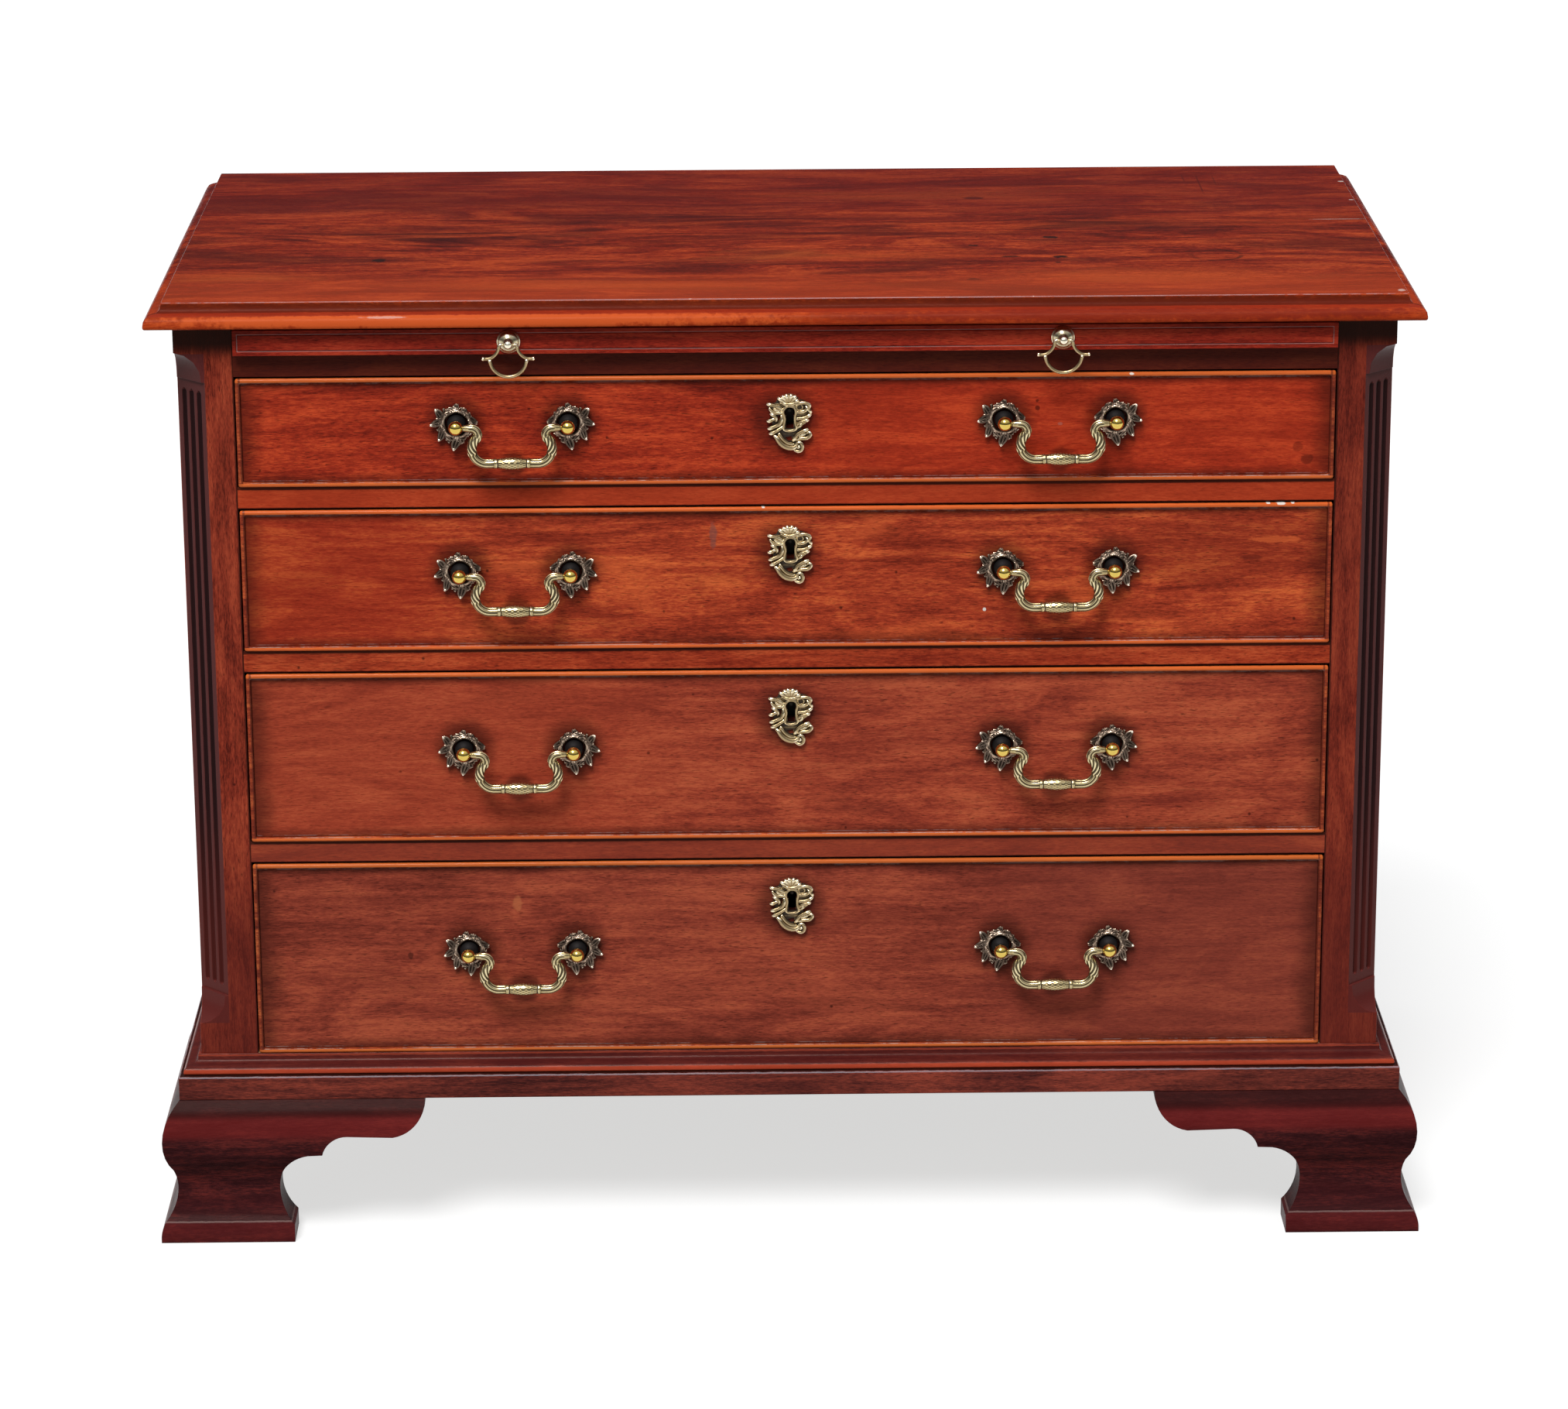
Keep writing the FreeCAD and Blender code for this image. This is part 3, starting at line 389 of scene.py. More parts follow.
def turned(rings, sides=28):  # turned work, rings of (height, radius) in mm from the foot up
    letGo()
    height, radius = rings[0]
    bpy.ops.mesh.primitive_circle_add(vertices=sides, radius=radius * mm, fill_type="NGON",
                                      location=(0, 0, height * mm))
    piece = bpy.context.object
    editAll(piece)
    for above, wider in rings[1:]:
        bpy.ops.mesh.extrude_region_move(TRANSFORM_OT_translate={"value": (0, 0, (above - height) * mm)})
        grow = wider / radius
        bpy.ops.transform.resize(value=(grow, grow, 1), center_override=(0, 0, above * mm))
        height, radius = above, wider
    bpy.ops.mesh.select_all(action="SELECT")
    bpy.ops.mesh.normals_make_consistent(inside=False)
    settle(piece)
    return piece


def settle(piece):  # object at the origin, its place in its mesh
    takeUp(piece)
    bpy.ops.object.transform_apply(location=True, rotation=True, scale=True)


def moved(piece, at=(0, 0, 0), turn=(0, 0, 0), size=(1, 1, 1)):
    piece.location, piece.rotation_euler, piece.scale = at, turn, size
    settle(piece)
    return piece


def twin(piece, at=(0, 0, 0), turn=(0, 0, 0), size=(1, 1, 1)):  # a copy with its own mesh
    copy = bpy.data.objects.new(piece.name, piece.data.copy())
    scene.collection.objects.link(copy)
    moved(copy, at, turn, size)
    return healed(copy) if math.prod(size) < 0 else copy


def joined(name, pieces):
    letGo()
    for piece in pieces:
        piece.select_set(True)
    bpy.context.view_layer.objects.active = pieces[0]
    bpy.ops.object.join()
    made = bpy.context.object
    made.name = made.data.name = name
    return made


def drop(piece):
    bpy.data.objects.remove(piece, do_unlink=True)


def grimed(piece):  # dirt kept in the hollows, as a colour on the points of the mesh
    takeUp(piece)
    bpy.ops.geometry.color_attribute_add(name="grime", domain="POINT", data_type="FLOAT_COLOR",
                                         color=(1, 1, 1, 1))
    bpy.ops.object.mode_set(mode="VERTEX_PAINT")
    bpy.ops.paint.vertex_color_dirt(blur_strength=1.0, blur_iterations=1, clean_angle=1.83, dirt_angle=1.31,
                                    normalize=False)
    bpy.ops.object.mode_set(mode="OBJECT")


def polished(name, pieces, angle=None):  # brass joined, smoothed and dirtied
    whole = joined(name, pieces)
    smoothed(whole, angle)
    grimed(whole)
    return whole


def onCircle(radius, turn, centre=(0.0, 0.0)):
    return centre[0] + radius * math.cos(turn), centre[1] + radius * math.sin(turn)


def standing(piece, x, front, z, turn=0.0, flip=1):  # from the bench, face up, to its place on the front
    return twin(piece, (x * mm, front * mm, z * mm), (math.pi / 2, turn, 0), (flip, 1, 1))


# wood of the carcass, marks and bands in mm as they lie on the chest
topZ = 838
knots = (  # and scratches: x, y, width, depth, strength
    (176, 150, 12, 7, 0.8), (237, -25, 9, 6, 0.9), (167, -57, 6, 5, 0.8), (197, -104, 9, 4, 0.8),
    (241, -106, 8, 7, 0.95), (237, -129, 3, 3, 0.9), (161, -194, 7, 5, 0.85), (-351, -100, 8, 8, 0.9),
    (389, 205, 1.0, 55, 0.6), (404, 225, 0.9, 28, 0.5), (376, 232, 0.9, 24, 0.5))
topNicks = (  # place, size, strength
    ((-80, -262, topZ), (1.6, 1.2, 1.2), 0.9), ((208, -262, topZ), (1.3, 1.2, 1.2), 0.9),
    ((-338, -275, 827), (22, 2, 1.2), 0.5), ((519, -250, topZ), (4, 5, 2), 0.7),
    ((521, 130, topZ), (3, 2, 2), 0.9), ((521, 215, topZ), (3, 3, 2), 0.9))
topMarks = [((x, y, topZ), (wide, deep, 9), stainAndShade, strength) for x, y, wide, deep, strength in knots]
# painted highlights: the nose's left half bright orange, as lit, and a pale grey line along the front arris
topMarks += [((498, 44, topZ), (26, 0.9, 9), wearAndHighlightPale, 0.7),
             ((-270, -276, 825), (330, 5.5, 10), (0.56, 0.100, 0.022), 0.85),
             ((0, -262.3, 837.9), (700, 0.9, 0.9), (0.34, 0.34, 0.37), 0.7)]
topMarks += [(place, size, nickPale, strength) for place, size, strength in topNicks]
# darkNose: the right half of the nose painted darker, as shade, beside the painted highlight on the left half
darkNose = ((290, -277, 827), (330, 7.0, 9), (0.14, 0.011, 0.007), 0.65)
glassRing = ((376, -104, topZ), 22.0, 3.0, stainAndShade, 0.7)
maroon, orange = (0.026, 0.002, 0.002), (0.46, 0.080, 0.015)
flames = (  # x, y, length, depth, tint, strength
    (-250, 30, 190, 70, maroon, 0.95), (-30, 120, 160, 45, maroon, 0.85), (330, 60, 170, 50, maroon, 0.7),
    (-420, 190, 110, 40, maroon, 0.5), (-430, -130, 110, 40, orange, 0.6), (60, -60, 190, 34, orange, 0.7),
    (360, -150, 180, 34, orange, 0.5), (-120, -170, 230, 30, orange, 0.5), (120, 215, 220, 30, orange, 0.4))
topClouds = [((x, y, topZ), (wide, deep, 60), tint, strength) for x, y, wide, deep, tint, strength in flames]
topWood = woodLook(
    "topWood", (0.050, 0.004, 0.002), (0.185, 0.013, 0.004), (0.40, 0.056, 0.012), flame=0.65, glow=0.5,
    flameDetail=5.0, turn=(0, 0, 0.05), shift=(0.3, 0.0, 0.0), wave=0.07, shine=0.05, coat=0.0,
    marks=topMarks, chips=(darkNose,), clouds=topClouds, rings=(glassRing,),
    # darker towards the back and lighter towards the front; the cove under the nose painted dark with a
    # darker line in its hollow, as painted shade
    bands=(("y", 150.0, 300.0, 140.0, (0.10, 0.005, 0.004), 0.45),
           ("y", -262.0, -225.0, 90.0, (0.36, 0.044, 0.010), 0.45),
           ("y", -272.0, -264.0, 1.0, (0.20, 0.014, 0.007), 0.55), ("y", -266.0, -263.2, 0.5, stainAndShade, 0.6)))
insideDark = ("inner", -254.6, 400.0, 0.4, (0.045, 0.018, 0.010), 0.85)
# painted shade in the hollows of the flutes
flutes = [("flute", middle - 1.7, middle + 1.7, 0.5, (0.007, 0.003, 0.004), 0.9)
          for middle in (496.2, 503.0, 509.8)]
postWood = woodLook(
    "postWood", (0.055, 0.006, 0.004), (0.205, 0.026, 0.013), (0.34, 0.056, 0.024), way="Z",
    # the right-hand stile painted darker, as shade away from the light from the left
    bands=(("x", 440.0, 520.0, 1.0, (0.11, 0.014, 0.009), 0.35), insideDark,
           # a painted shadow under the top's overhang, and painted shade along the edge beside the drawer gap
           ("z", 802.0, 820.0, 16.0, stainAndShade, 0.96), ("side", 466.0, 467.0, 0.6, stainAndShade, 0.8),
           ("cant", 490.5, 515.2, 0.4, (0.075, 0.017, 0.018), 0.85), *flutes,
           ("z", 160.0, 250.0, 160.0, (0.085, 0.012, 0.009), 0.6)))
sideWood = woodLook("sideWood", (0.06, 0.007, 0.004), (0.19, 0.024, 0.010), (0.35, 0.056, 0.022), way="Z")
# painted shade in the gaps along the rails' edges, wider beneath each drawer's bead
railEdgeShade = [("z", edge - 0.6, edge + 0.6, 0.5, stainAndShade, 0.8) for edge in (340, 512, 657)]
railEdgeShade += [("z", edge - 2.2, edge + 0.6, 0.8, stainAndShade, 0.85) for edge in (359, 531, 676)]
railWood = woodLook(
    "railWood", (0.15, 0.013, 0.006), (0.31, 0.037, 0.013), (0.47, 0.080, 0.026),
    bands=(("z", 640.0, 690.0, 9.0, (0.38, 0.040, 0.012), 0.5),
           ("z", 330.0, 370.0, 9.0, (0.17, 0.034, 0.021), 0.6), insideDark, *railEdgeShade,
           # the rail under the slide painted nearly black: painted shadow of the slide and the top
           ("z", 771.0, 792.5, 1.5, (0.03, 0.005, 0.004), 0.85)))
baseWood = woodLook(
    "baseWood", (0.035, 0.006, 0.006), (0.115, 0.020, 0.014), (0.24, 0.042, 0.024), shine=0.06, coat=0.08,
    # painted light along the moulding: a pale highlight on the lower fillet, a shade line above it, a bright
    # lit convex band, a shaded cove and a highlight on the top fillet
    bands=(("z", 147.2, 148.0, 0.3, (0.26, 0.28, 0.32), 0.4), ("z", 148.4, 149.2, 0.3, stainAndShade, 0.9),
           ("z", 149.8, 153.0, 1.2, (0.40, 0.050, 0.018), 0.6),
           ("z", 155.0, 161.0, 1.5, (0.05, 0.006, 0.006), 0.7),
           ("z", 162.2, 163.0, 0.4, (0.34, 0.046, 0.020), 0.5)))
footWood = woodLook(
    "footWood", (0.014, 0.003, 0.004), (0.036, 0.008, 0.009), (0.10, 0.016, 0.014), shine=0.015, coat=0.015,
    # a painted highlight on the shoulder; otherwise darker at the top and above the lip, redder low down, and
    # a worn pale line at the lip
    bands=(("z", 100.0, 112.0, 8.0, (0.15, 0.014, 0.013), 0.5),
           ("z", 117.0, 130.0, 7.0, (0.022, 0.004, 0.004), 0.7),
           ("z", 18.0, 36.0, 4.0, (0.030, 0.006, 0.007), 0.5),
           ("z", 3.0, 16.0, 3.0, (0.11, 0.012, 0.012), 0.4), ("z", 17.6, 18.4, 0.4, (0.30, 0.20, 0.18), 0.3)))
# the pale line round the slide's groove: a painted highlight where the groove's edge catches light
slideWood = woodLook("slideWood", (0.12, 0.008, 0.005), (0.27, 0.020, 0.010), (0.40, 0.044, 0.018),
                     edges=(792.3, 814.3, 465.0), rimLine=(3.6, 4.0, wearAndHighlightPale, 0.3, False))

for node, wood, width in (("top", topWood, 0.9), ("corner_posts", postWood, 0.7), ("sides", sideWood, 0.5),
                          ("drawer_rails", railWood, 0.5), ("base_moulding", baseWood, 0.7),
                          ("plinth_fascia", baseWood, 0.8), ("slide_front", slideWood, 0.5)):
    piece = dress(easedCopy(node, width), wood)
    print("eased", node, len(piece.data.polygons))


def arcThrough(start, middle, end, steps):  # points after start on the circle through three points
    (ax, ay), (bx, by), (cx, cy) = start, middle, end
    a, b, c = (px * px + py * py for px, py in (start, middle, end))
    double = 2 * (ax * (by - cy) + bx * (cy - ay) + cx * (ay - by))
    centre = ((a * (by - cy) + b * (cy - ay) + c * (ay - by)) / double,
              (a * (cx - bx) + b * (ax - cx) + c * (bx - ax)) / double)
    first, mid, last = (math.atan2(py - centre[1], px - centre[0]) for px, py in (start, middle, end))
    span = (last - first) % (2 * math.pi)
    if (mid - first) % (2 * math.pi) > span:
        span -= 2 * math.pi
    radius = math.dist(start, centre)
    return [onCircle(radius, first + span * step / steps, centre) for step in range(1, steps + 1)]


def outline(runs, wide, tall, steps=9):  # straight runs and arcs, given as shares of a width and a height
    points = []
    for run in runs:
        spots = [(px * wide, py * tall) for px, py in run]
        points += spots if len(spots) == 1 else arcThrough(points[-1], spots[0], spots[1], steps)
    return points


foot = {
    "tall": 127.0, "flare": 18.5, "stock": 24.0, "long": 215.0, "uncut": 300.0, "uncutAt": 100.0,
    "sawn": 200.0, "past": -40.0, "backLong": 150.0, "backThick": 18.0, "cornerX": 535.0, "frontY": -274.25,
    "backY": 286.75,
    "section": (((0.0, 1.0),), ((0.80, 0.765), (0.36, 0.50)), ((0.19, 0.36), (0.79, 0.14)),
                ((0.95, 0.085), (1.0, 0.03)), ((1.0, 0.0),)),
    "bracket": (((1.0, 1.0),), ((1.0, 0.96),), ((0.956, 0.828), (0.869, 0.754)), ((0.682, 0.763),),
                ((0.613, 0.721), (0.580, 0.624)), ((0.520, 0.620),), ((0.441, 0.551), (0.403, 0.422)),
                ((0.408, 0.265), (0.46, 0.118)), ((0.46, 0.0),)),
    "plainBack": (((1.0, 1.0),), ((1.0, 0.78),), ((0.62, 0.62), (0.45, 0.0)))}
upright, quarter = (math.pi / 2, 0, 0), (0, 0, -math.pi / 2)


def bracketWood():  # one bracket along X from its corner at the origin, its moulded face towards -Y
    tall, past = foot["tall"], foot["past"]
    section = outline(foot["section"], foot["flare"], tall) + [(-foot["stock"], 0.0), (-foot["stock"], tall)]
    moulded = moved(prism(section, foot["uncut"]), (foot["uncutAt"] * mm, 0, 0),
                    (math.pi / 2, 0, -math.pi / 2))
    front = outline(foot["bracket"], foot["long"], tall) + [(past, 0.0), (past, tall)]
    cutter = moved(prism(front, foot["sawn"]), turn=upright)
    applyMod(moulded, "BOOLEAN", operation="INTERSECT", object=cutter, solver="EXACT")
    drop(cutter)
    return moulded


def cutAway(piece, normal, fill):  # keeps what lies behind a plane through the corner
    editAll(piece)
    bpy.ops.mesh.bisect(plane_co=(0, 0, 0), plane_no=normal, use_fill=fill, clear_outer=True)
    letGo()


def madeWhole(piece):
    editAll(piece)
    bpy.ops.mesh.remove_doubles(threshold=0.000002)
    bpy.ops.mesh.dissolve_limited(angle_limit=flatAngle)
    bpy.ops.mesh.normals_make_consistent(inside=False)
    letGo()
    return piece


def finishFeet(name, pieces, node):
    pieces += [twin(piece, size=(-1, 1, 1)) for piece in pieces]
    whole = joined(name, pieces)
    roundOff(whole, 1.0, limit=32.0)
    dress(whole, footWood)
    seat(whole, node)
    print(name, len(whole.data.polygons))


def frontFeet():
    half = bracketWood()
    cutAway(half, (-1, 1, 0), False)
    other = twin(half, turn=quarter, size=(-1, 1, 1))
    whole = madeWhole(joined("mitredFoot", [half, other]))
    moved(whole, at=(-foot["cornerX"] * mm, foot["frontY"] * mm, 0))
    finishFeet("front_feet_wood", [whole], "front_feet")


def backFeet():
    half = bracketWood()
    cutAway(half, (-1, 0, 0), True)
    moved(half, at=(-foot["cornerX"] * mm, foot["backY"] * mm, 0), turn=quarter)
    plain = outline(foot["plainBack"], foot["backLong"], foot["tall"]) + [(0.0, 0.0), (0.0, foot["tall"])]
    place = (foot["stock"] - foot["cornerX"], foot["backY"] - foot["backThick"] / 2, 0)
    plain = moved(prism(plain, foot["backThick"]), inMetres(place), upright)
    finishFeet("back_feet_wood", [madeWhole(half), madeWhole(plain)], "back_feet")


frontFeet()
backFeet()

# drawer fronts: marks and nicks as x, z, width, height, tint, strength
drawerTones = {
    1: {"dark": (0.12, 0.009, 0.005), "mid": (0.295, 0.025, 0.010), "light": (0.51, 0.062, 0.019),
        "bands": (("x", 80.0, 470.0, 150.0, (0.40, 0.032, 0.009), 0.3),),
        "nicks": ((292, 769.5, 2.0, 1.0, nickPale, 0.9),),
        "marks": ((232, 726, 2.5, 1.5, (0.30, 0.16, 0.13), 0.5), (434, 704.5, 5, 5, stainAndShade, 0.5),
                  (442, 693, 6, 5, stainAndShade, 0.7), (212.5, 746, 1.9, 1.9, stainAndShade, 1.0),
                  (213, 740, 2.4, 2.4, stainAndShade, 1.0))},
    2: {"dark": (0.15, 0.015, 0.007), "mid": (0.345, 0.042, 0.016), "light": (0.58, 0.112, 0.031),
        "flame": 0.4, "glow": 0.4, "shift": (1.7, 0.2, 0.4), "turn": (0, -0.07, 0),
        "bands": (("x", -470.0, -330.0, 80.0, (0.26, 0.018, 0.007), 0.45),),
        "nicks": ((410, 655.5, 2.5, 0.9, nickPale, 0.9), (421, 655.0, 5.0, 1.2, nickPale, 0.9),
                  (431, 655.5, 2.2, 0.9, nickPale, 0.9), (-20, 655.5, 1.6, 0.9, nickPale, 0.9)),
        "marks": ((-62.7, 630, 3.5, 14, (0.16, 0.06, 0.05), 0.6), (169, 563, 1.7, 1.7, nickPale, 0.9),
                  (395, 607, 10, 2.6, (0.09, 0.010, 0.006), 0.6),
                  (418, 623, 26, 3.4, (0.58, 0.110, 0.030), 0.5))},
    3: {"dark": (0.15, 0.020, 0.012), "mid": (0.295, 0.046, 0.022), "light": (0.43, 0.088, 0.037),
        "shift": (3.1, 0.1, 0.9), "turn": (0, -0.12, 0), "nicks": (), "marks": (),
        "bands": (("x", -470.0, -200.0, 150.0, (0.33, 0.044, 0.017), 0.3),)},
    4: {"dark": (0.115, 0.018, 0.011), "mid": (0.235, 0.040, 0.022), "light": (0.36, 0.074, 0.034),
        "shift": (5.3, 0.4, 0.2), "turn": (0, -0.2, 0), "nicks": (),
        "bands": (("x", 260.0, 470.0, 150.0, (0.16, 0.030, 0.020), 0.45),),
        "marks": ((-330, 253, 3, 4, stainAndShade, 0.6), (-236, 300, 5, 8, (0.42, 0.13, 0.05), 0.5))},
}
drawerBrass = {"front": -255.25, "pivot": -275.25, "centre": 231.5, "spread": 47.25, "keyX": 3.0,
               "handleZ": (730.95, 600.95, 442.45, 258.95), "keyZ": (738.1, 623.1, 478.1, 306.1)}
# sizes of the darkening round the brass, in mm: stains and painted shade round the roses and plate, the
# bail's painted shadow, and painted shade behind the keyhole
brassStainAndShade = {"rose": 33.0, "plate": 38.0, "plateDrop": 9, "grip": 16.0, "gripDrop": 37, "keyDrop": 10}
bead = {"wide": 4.0, "proud": 3.0, "deep": 9.0, "nose": 1.7}


def cockBead(name, low, high):  # a thin round-nosed strip let in round the drawer front
    letGo()
    bpy.ops.mesh.primitive_plane_add(size=1, location=(0, low.y - bead["proud"] * mm, (low.z + high.z) / 2),
                                     rotation=(math.pi / 2, 0, 0))
    strip = bpy.context.object
    strip.scale = (high.x - low.x, high.z - low.z, 1)
    strip.name = strip.data.name = name
    settle(strip)
    editAll(strip)
    bpy.ops.mesh.inset(thickness=bead["wide"] * mm, use_even_offset=True)
    bpy.ops.mesh.delete(type="FACE")
    bpy.ops.mesh.select_all(action="SELECT")
    bpy.ops.mesh.extrude_region_move(TRANSFORM_OT_translate={"value": (0, bead["deep"] * mm, 0)})
    bpy.ops.mesh.select_all(action="SELECT")
    bpy.ops.mesh.normals_make_consistent(inside=False)
    letGo()
    front = low.y - bead["proud"] * mm
    for edge in strip.data.edges:
        first, second = (strip.data.vertices[index].co for index in edge.vertices)
        level = abs(first.x - second.x) < 0.0001 or abs(first.z - second.z) < 0.0001
        edge.select = level and abs(first.y - front) < 0.0001 and abs(second.y - front) < 0.0001
    takeUp(strip)
    bpy.ops.object.mode_set(mode="EDIT")
    bpy.ops.mesh.select_mode(type="EDGE")
    bpy.ops.mesh.bevel(offset=bead["nose"] * mm, segments=4, affect="EDGES")
    smoothed(strip, 50)
    return strip


def onFront(y, spots):
    return [((x, y, z), (wide, 9, tall), tint, strength) for x, z, wide, tall, tint, strength in spots]


beadShade = (0.07, 0.008, 0.004)
for number, tones in drawerTones.items():
    node, beadNode = "drawer_%d_front" % number, "drawer_%d_cock_bead" % number
    low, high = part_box(node)
    bottom, top, half, wide = low.z / mm, high.z / mm, high.x / mm, bead["wide"]
    handleZ, keyZ = drawerBrass["handleZ"][number - 1], drawerBrass["keyZ"][number - 1]
    # keyShade: a dark spot on the wood behind the keyhole slot, painted shade for the hole's depth
    keyShade = ((drawerBrass["keyX"], -255, keyZ - brassStainAndShade["keyDrop"]), (5.0, 14.0, 9.0), stainAndShade, 1.0)
    look = {**tones, "marks": onFront(-255, tones["marks"]) + [keyShade]}
    chips = onFront(low.y / mm - 2, look.pop("nicks"))
    centre, spread = drawerBrass["centre"], drawerBrass["spread"]
    # darker round the roses and the escutcheon: stains and painted shade; below the grip: the bail's painted
    # shadow
    stainAndShadeSpots = [(centre + side * spread, handleZ, brassStainAndShade["rose"]) for side in (-1, 1)]
    stainAndShadeSpots += [(0.0, keyZ - brassStainAndShade["plateDrop"], brassStainAndShade["plate"]),
              (centre, handleZ - brassStainAndShade["gripDrop"], brassStainAndShade["grip"])]
    # the front's edges darker, grime and painted shade; a broken pale line inside the bead, worn and partly a
    # painted highlight
    dress(easedCopy(node, 0.3), woodLook(
        "frontWood%d" % number, **look, dirtWide=8.0, rimLine=(0.9, 1.3, wearAndHighlightPale, 0.2, True), brass=stainAndShadeSpots,
        edges=(bottom + wide, top - wide, half - wide)))
    red = 0.5 + 0.5 * tones["mid"][0] / 0.34  # a bead follows the red of its drawer
    strip = cockBead(beadNode + "_wood", low, high)
    dress(strip, woodLook(
        "beadWood%d" % number, (0.09 * red, 0.008, 0.003), (0.24 * red, 0.028, 0.009),
        (0.50 * red, 0.10, 0.028), coat=0.2, chips=chips, edges=(bottom, top, half),
        rimLine=(3.4, 3.7, (0.52, 0.40, 0.32), 0.35, True),
        # painted light on the bead: the top bead and the upper face of the bottom bead lit bright as painted
        # highlights, painted shade along its inner line and on its sides in the gap, and its pale inner line
        # worn and partly a painted highlight
        bands=(("z", top - 4.0, top, 0.3, (0.60 * red, 0.115, 0.022), 0.8),
               ("z", top - 4.3, top - 3.0, 0.2, beadShade, 0.7),
               ("side", half - 4.3, half - 2.7, 0.2, beadShade, 0.65), ("y", -254.9, 0.0, 0.3, stainAndShade, 0.9),
               ("z", bottom + 0.4, bottom + 3.0, 0.3, (0.68 * red, 0.135, 0.028), 0.75))))
    seat(strip, beadNode)
    print("drawer", number, "front and bead")

# wood and iron of the solids that keep their own mesh
boardWood = woodLook("boardWood", (0.10, 0.009, 0.005), (0.22, 0.028, 0.012), (0.36, 0.068, 0.024))
oakWood = woodLook("oakWood", (0.17, 0.092, 0.042), (0.31, 0.19, 0.092), (0.43, 0.29, 0.16), way="Y",
                   flame=0.12, glow=0.12, pore=(0.09, 0.05, 0.025), shine=0.1, coat=0.0)
pineWood = woodLook("pineWood", (0.12, 0.060, 0.026), (0.25, 0.140, 0.066), (0.36, 0.225, 0.12),
                    flame=0.14, glow=0.1, wave=0.012, pore=(0.07, 0.036, 0.016), shine=0.06, coat=0.0)
lockIron = Finish("lockIron")
rust = lockIron.noise(lockIron.spot(), 180.0, 4.0, 0.6)
lockIron.feed({"Base Color": lockIron.blend(rust, (0.012, 0.010, 0.009), (0.06, 0.045, 0.03)),
               "Metallic": 0.6, "Roughness": 0.45 + rust * 0.3})
lockIron.bump(rust, 0.2, 0.0004)
finishes = {"mahogany": boardWood, "drawer_front": boardWood, "oak": oakWood, "pine": pineWood,
            "brass": lockIron.material}
for node, solid in frame["nodes"].items():
    dress(solid, finishes[slotOf[node]])

# back: lapped boards with open seams, nailed into the rebates of the sides
back = {"boards": 4, "lap": 8.0, "half": 506.0, "inner": 276.75, "middle": 281.75, "rear": 286.75,
        "foot": 127.0, "head": 817.5, "seam": 0.5, "ease": 0.9, "nailX": 500.5, "nails": (0.2, 0.5, 0.8),
        "nail": ((-0.6, 3.4), (0.3, 3.3), (0.8, 2.4), (1.2, 1.2), (1.3, 0.2))}
inner, middle, rear, seam = (back[part] for part in ("inner", "middle", "rear", "seam"))
boards = []
nail = dress(turned(back["nail"], 8), lockIron.material)
pitch = (back["head"] - back["foot"]) / back["boards"]
for number in range(back["boards"]):
    low = back["foot"] + number * pitch
    high = low + pitch
    rearLow = low + (back["lap"] if number else 0.0)
    rearHigh = high + (back["lap"] if number < back["boards"] - 1 else 0.0)
    lower = [(inner, low), (middle, low), (middle, rearLow), (rear, rearLow)]
    upper = [(rear, rearHigh), (middle, rearHigh), (middle, high), (inner, high)]
    section = [(y, z + seam) for y, z in lower] + [(y, z - seam) for y, z in upper]
    section = [point for rank, point in enumerate(section) if point != section[rank - 1]]
    board = moved(prism(section, 2 * back["half"]), turn=(math.pi / 2, 0, math.pi / 2))
    roundOff(board, back["ease"])
    boards.append(dress(board, pineWood))
    for side in (-1, 1):
        for share in back["nails"]:
            place = inMetres((side * back["nailX"], rear, rearLow + (rearHigh - rearLow) * share))
            boards.append(twin(nail, at=place, turn=(-math.pi / 2, 0, 0)))
drop(nail)
backing = joined("back_boards_nailed", boards)
seat(backing, "back_boards")
print("back boarded", len(backing.data.polygons))


def metal(name, dark, mid, light, cloudScale, patchy, wear, rough):  # dark in hollows, pale where rubbed
    brass = Finish(name)
    grime = brass.add("ShaderNodeAttribute", {"attribute_name": "grime"})
    cloud = brass.noise(brass.spot(), cloudScale, 4.0, 0.65)
    clean = brass.add("ShaderNodeSeparateColor", {}, {0: grime}) + (cloud - 0.5) * patchy
    bare, rubbed = (brass.ease(clean, low, high) for low, high in zip(wear, wear[1:]))
    brass.feed({"Base Color": brass.blend(rubbed, brass.blend(bare, dark, mid), light),
                "Metallic": brass.ease(bare, 0.0, 0.35, 0.55, 1.0),
                "Roughness": rough + (1.0 - bare) * 0.3 + cloud * 0.08})
    brass.bump(brass.noise(brass.spot(), cloudScale * 5.0, 2.0), 0.12, 0.0002)
    return brass.material


bailBrass = metal("bailBrass", (0.05, 0.034, 0.016), (0.40, 0.31, 0.15), (0.78, 0.68, 0.42),
                  cloudScale=130.0, patchy=0.08, wear=(0.025, 0.1, 0.24), rough=0.2)
roseBronze = metal("roseBronze", (0.007, 0.005, 0.005), (0.085, 0.060, 0.045), (0.52, 0.40, 0.30),
                   cloudScale=160.0, patchy=0.4, wear=(0.28, 0.54, 0.82), rough=0.28)
tipBronze = metal("tipBronze", (0.03, 0.024, 0.02), (0.36, 0.29, 0.21), (0.85, 0.77, 0.62),
                  cloudScale=160.0, patchy=0.25, wear=(0.0, 0.25, 0.6), rough=0.22)
plateBrass = metal("plateBrass", (0.030, 0.019, 0.011), (0.38, 0.28, 0.15), (0.88, 0.77, 0.54),
                   cloudScale=150.0, patchy=0.25, wear=(0.2, 0.44, 0.68), rough=0.22)
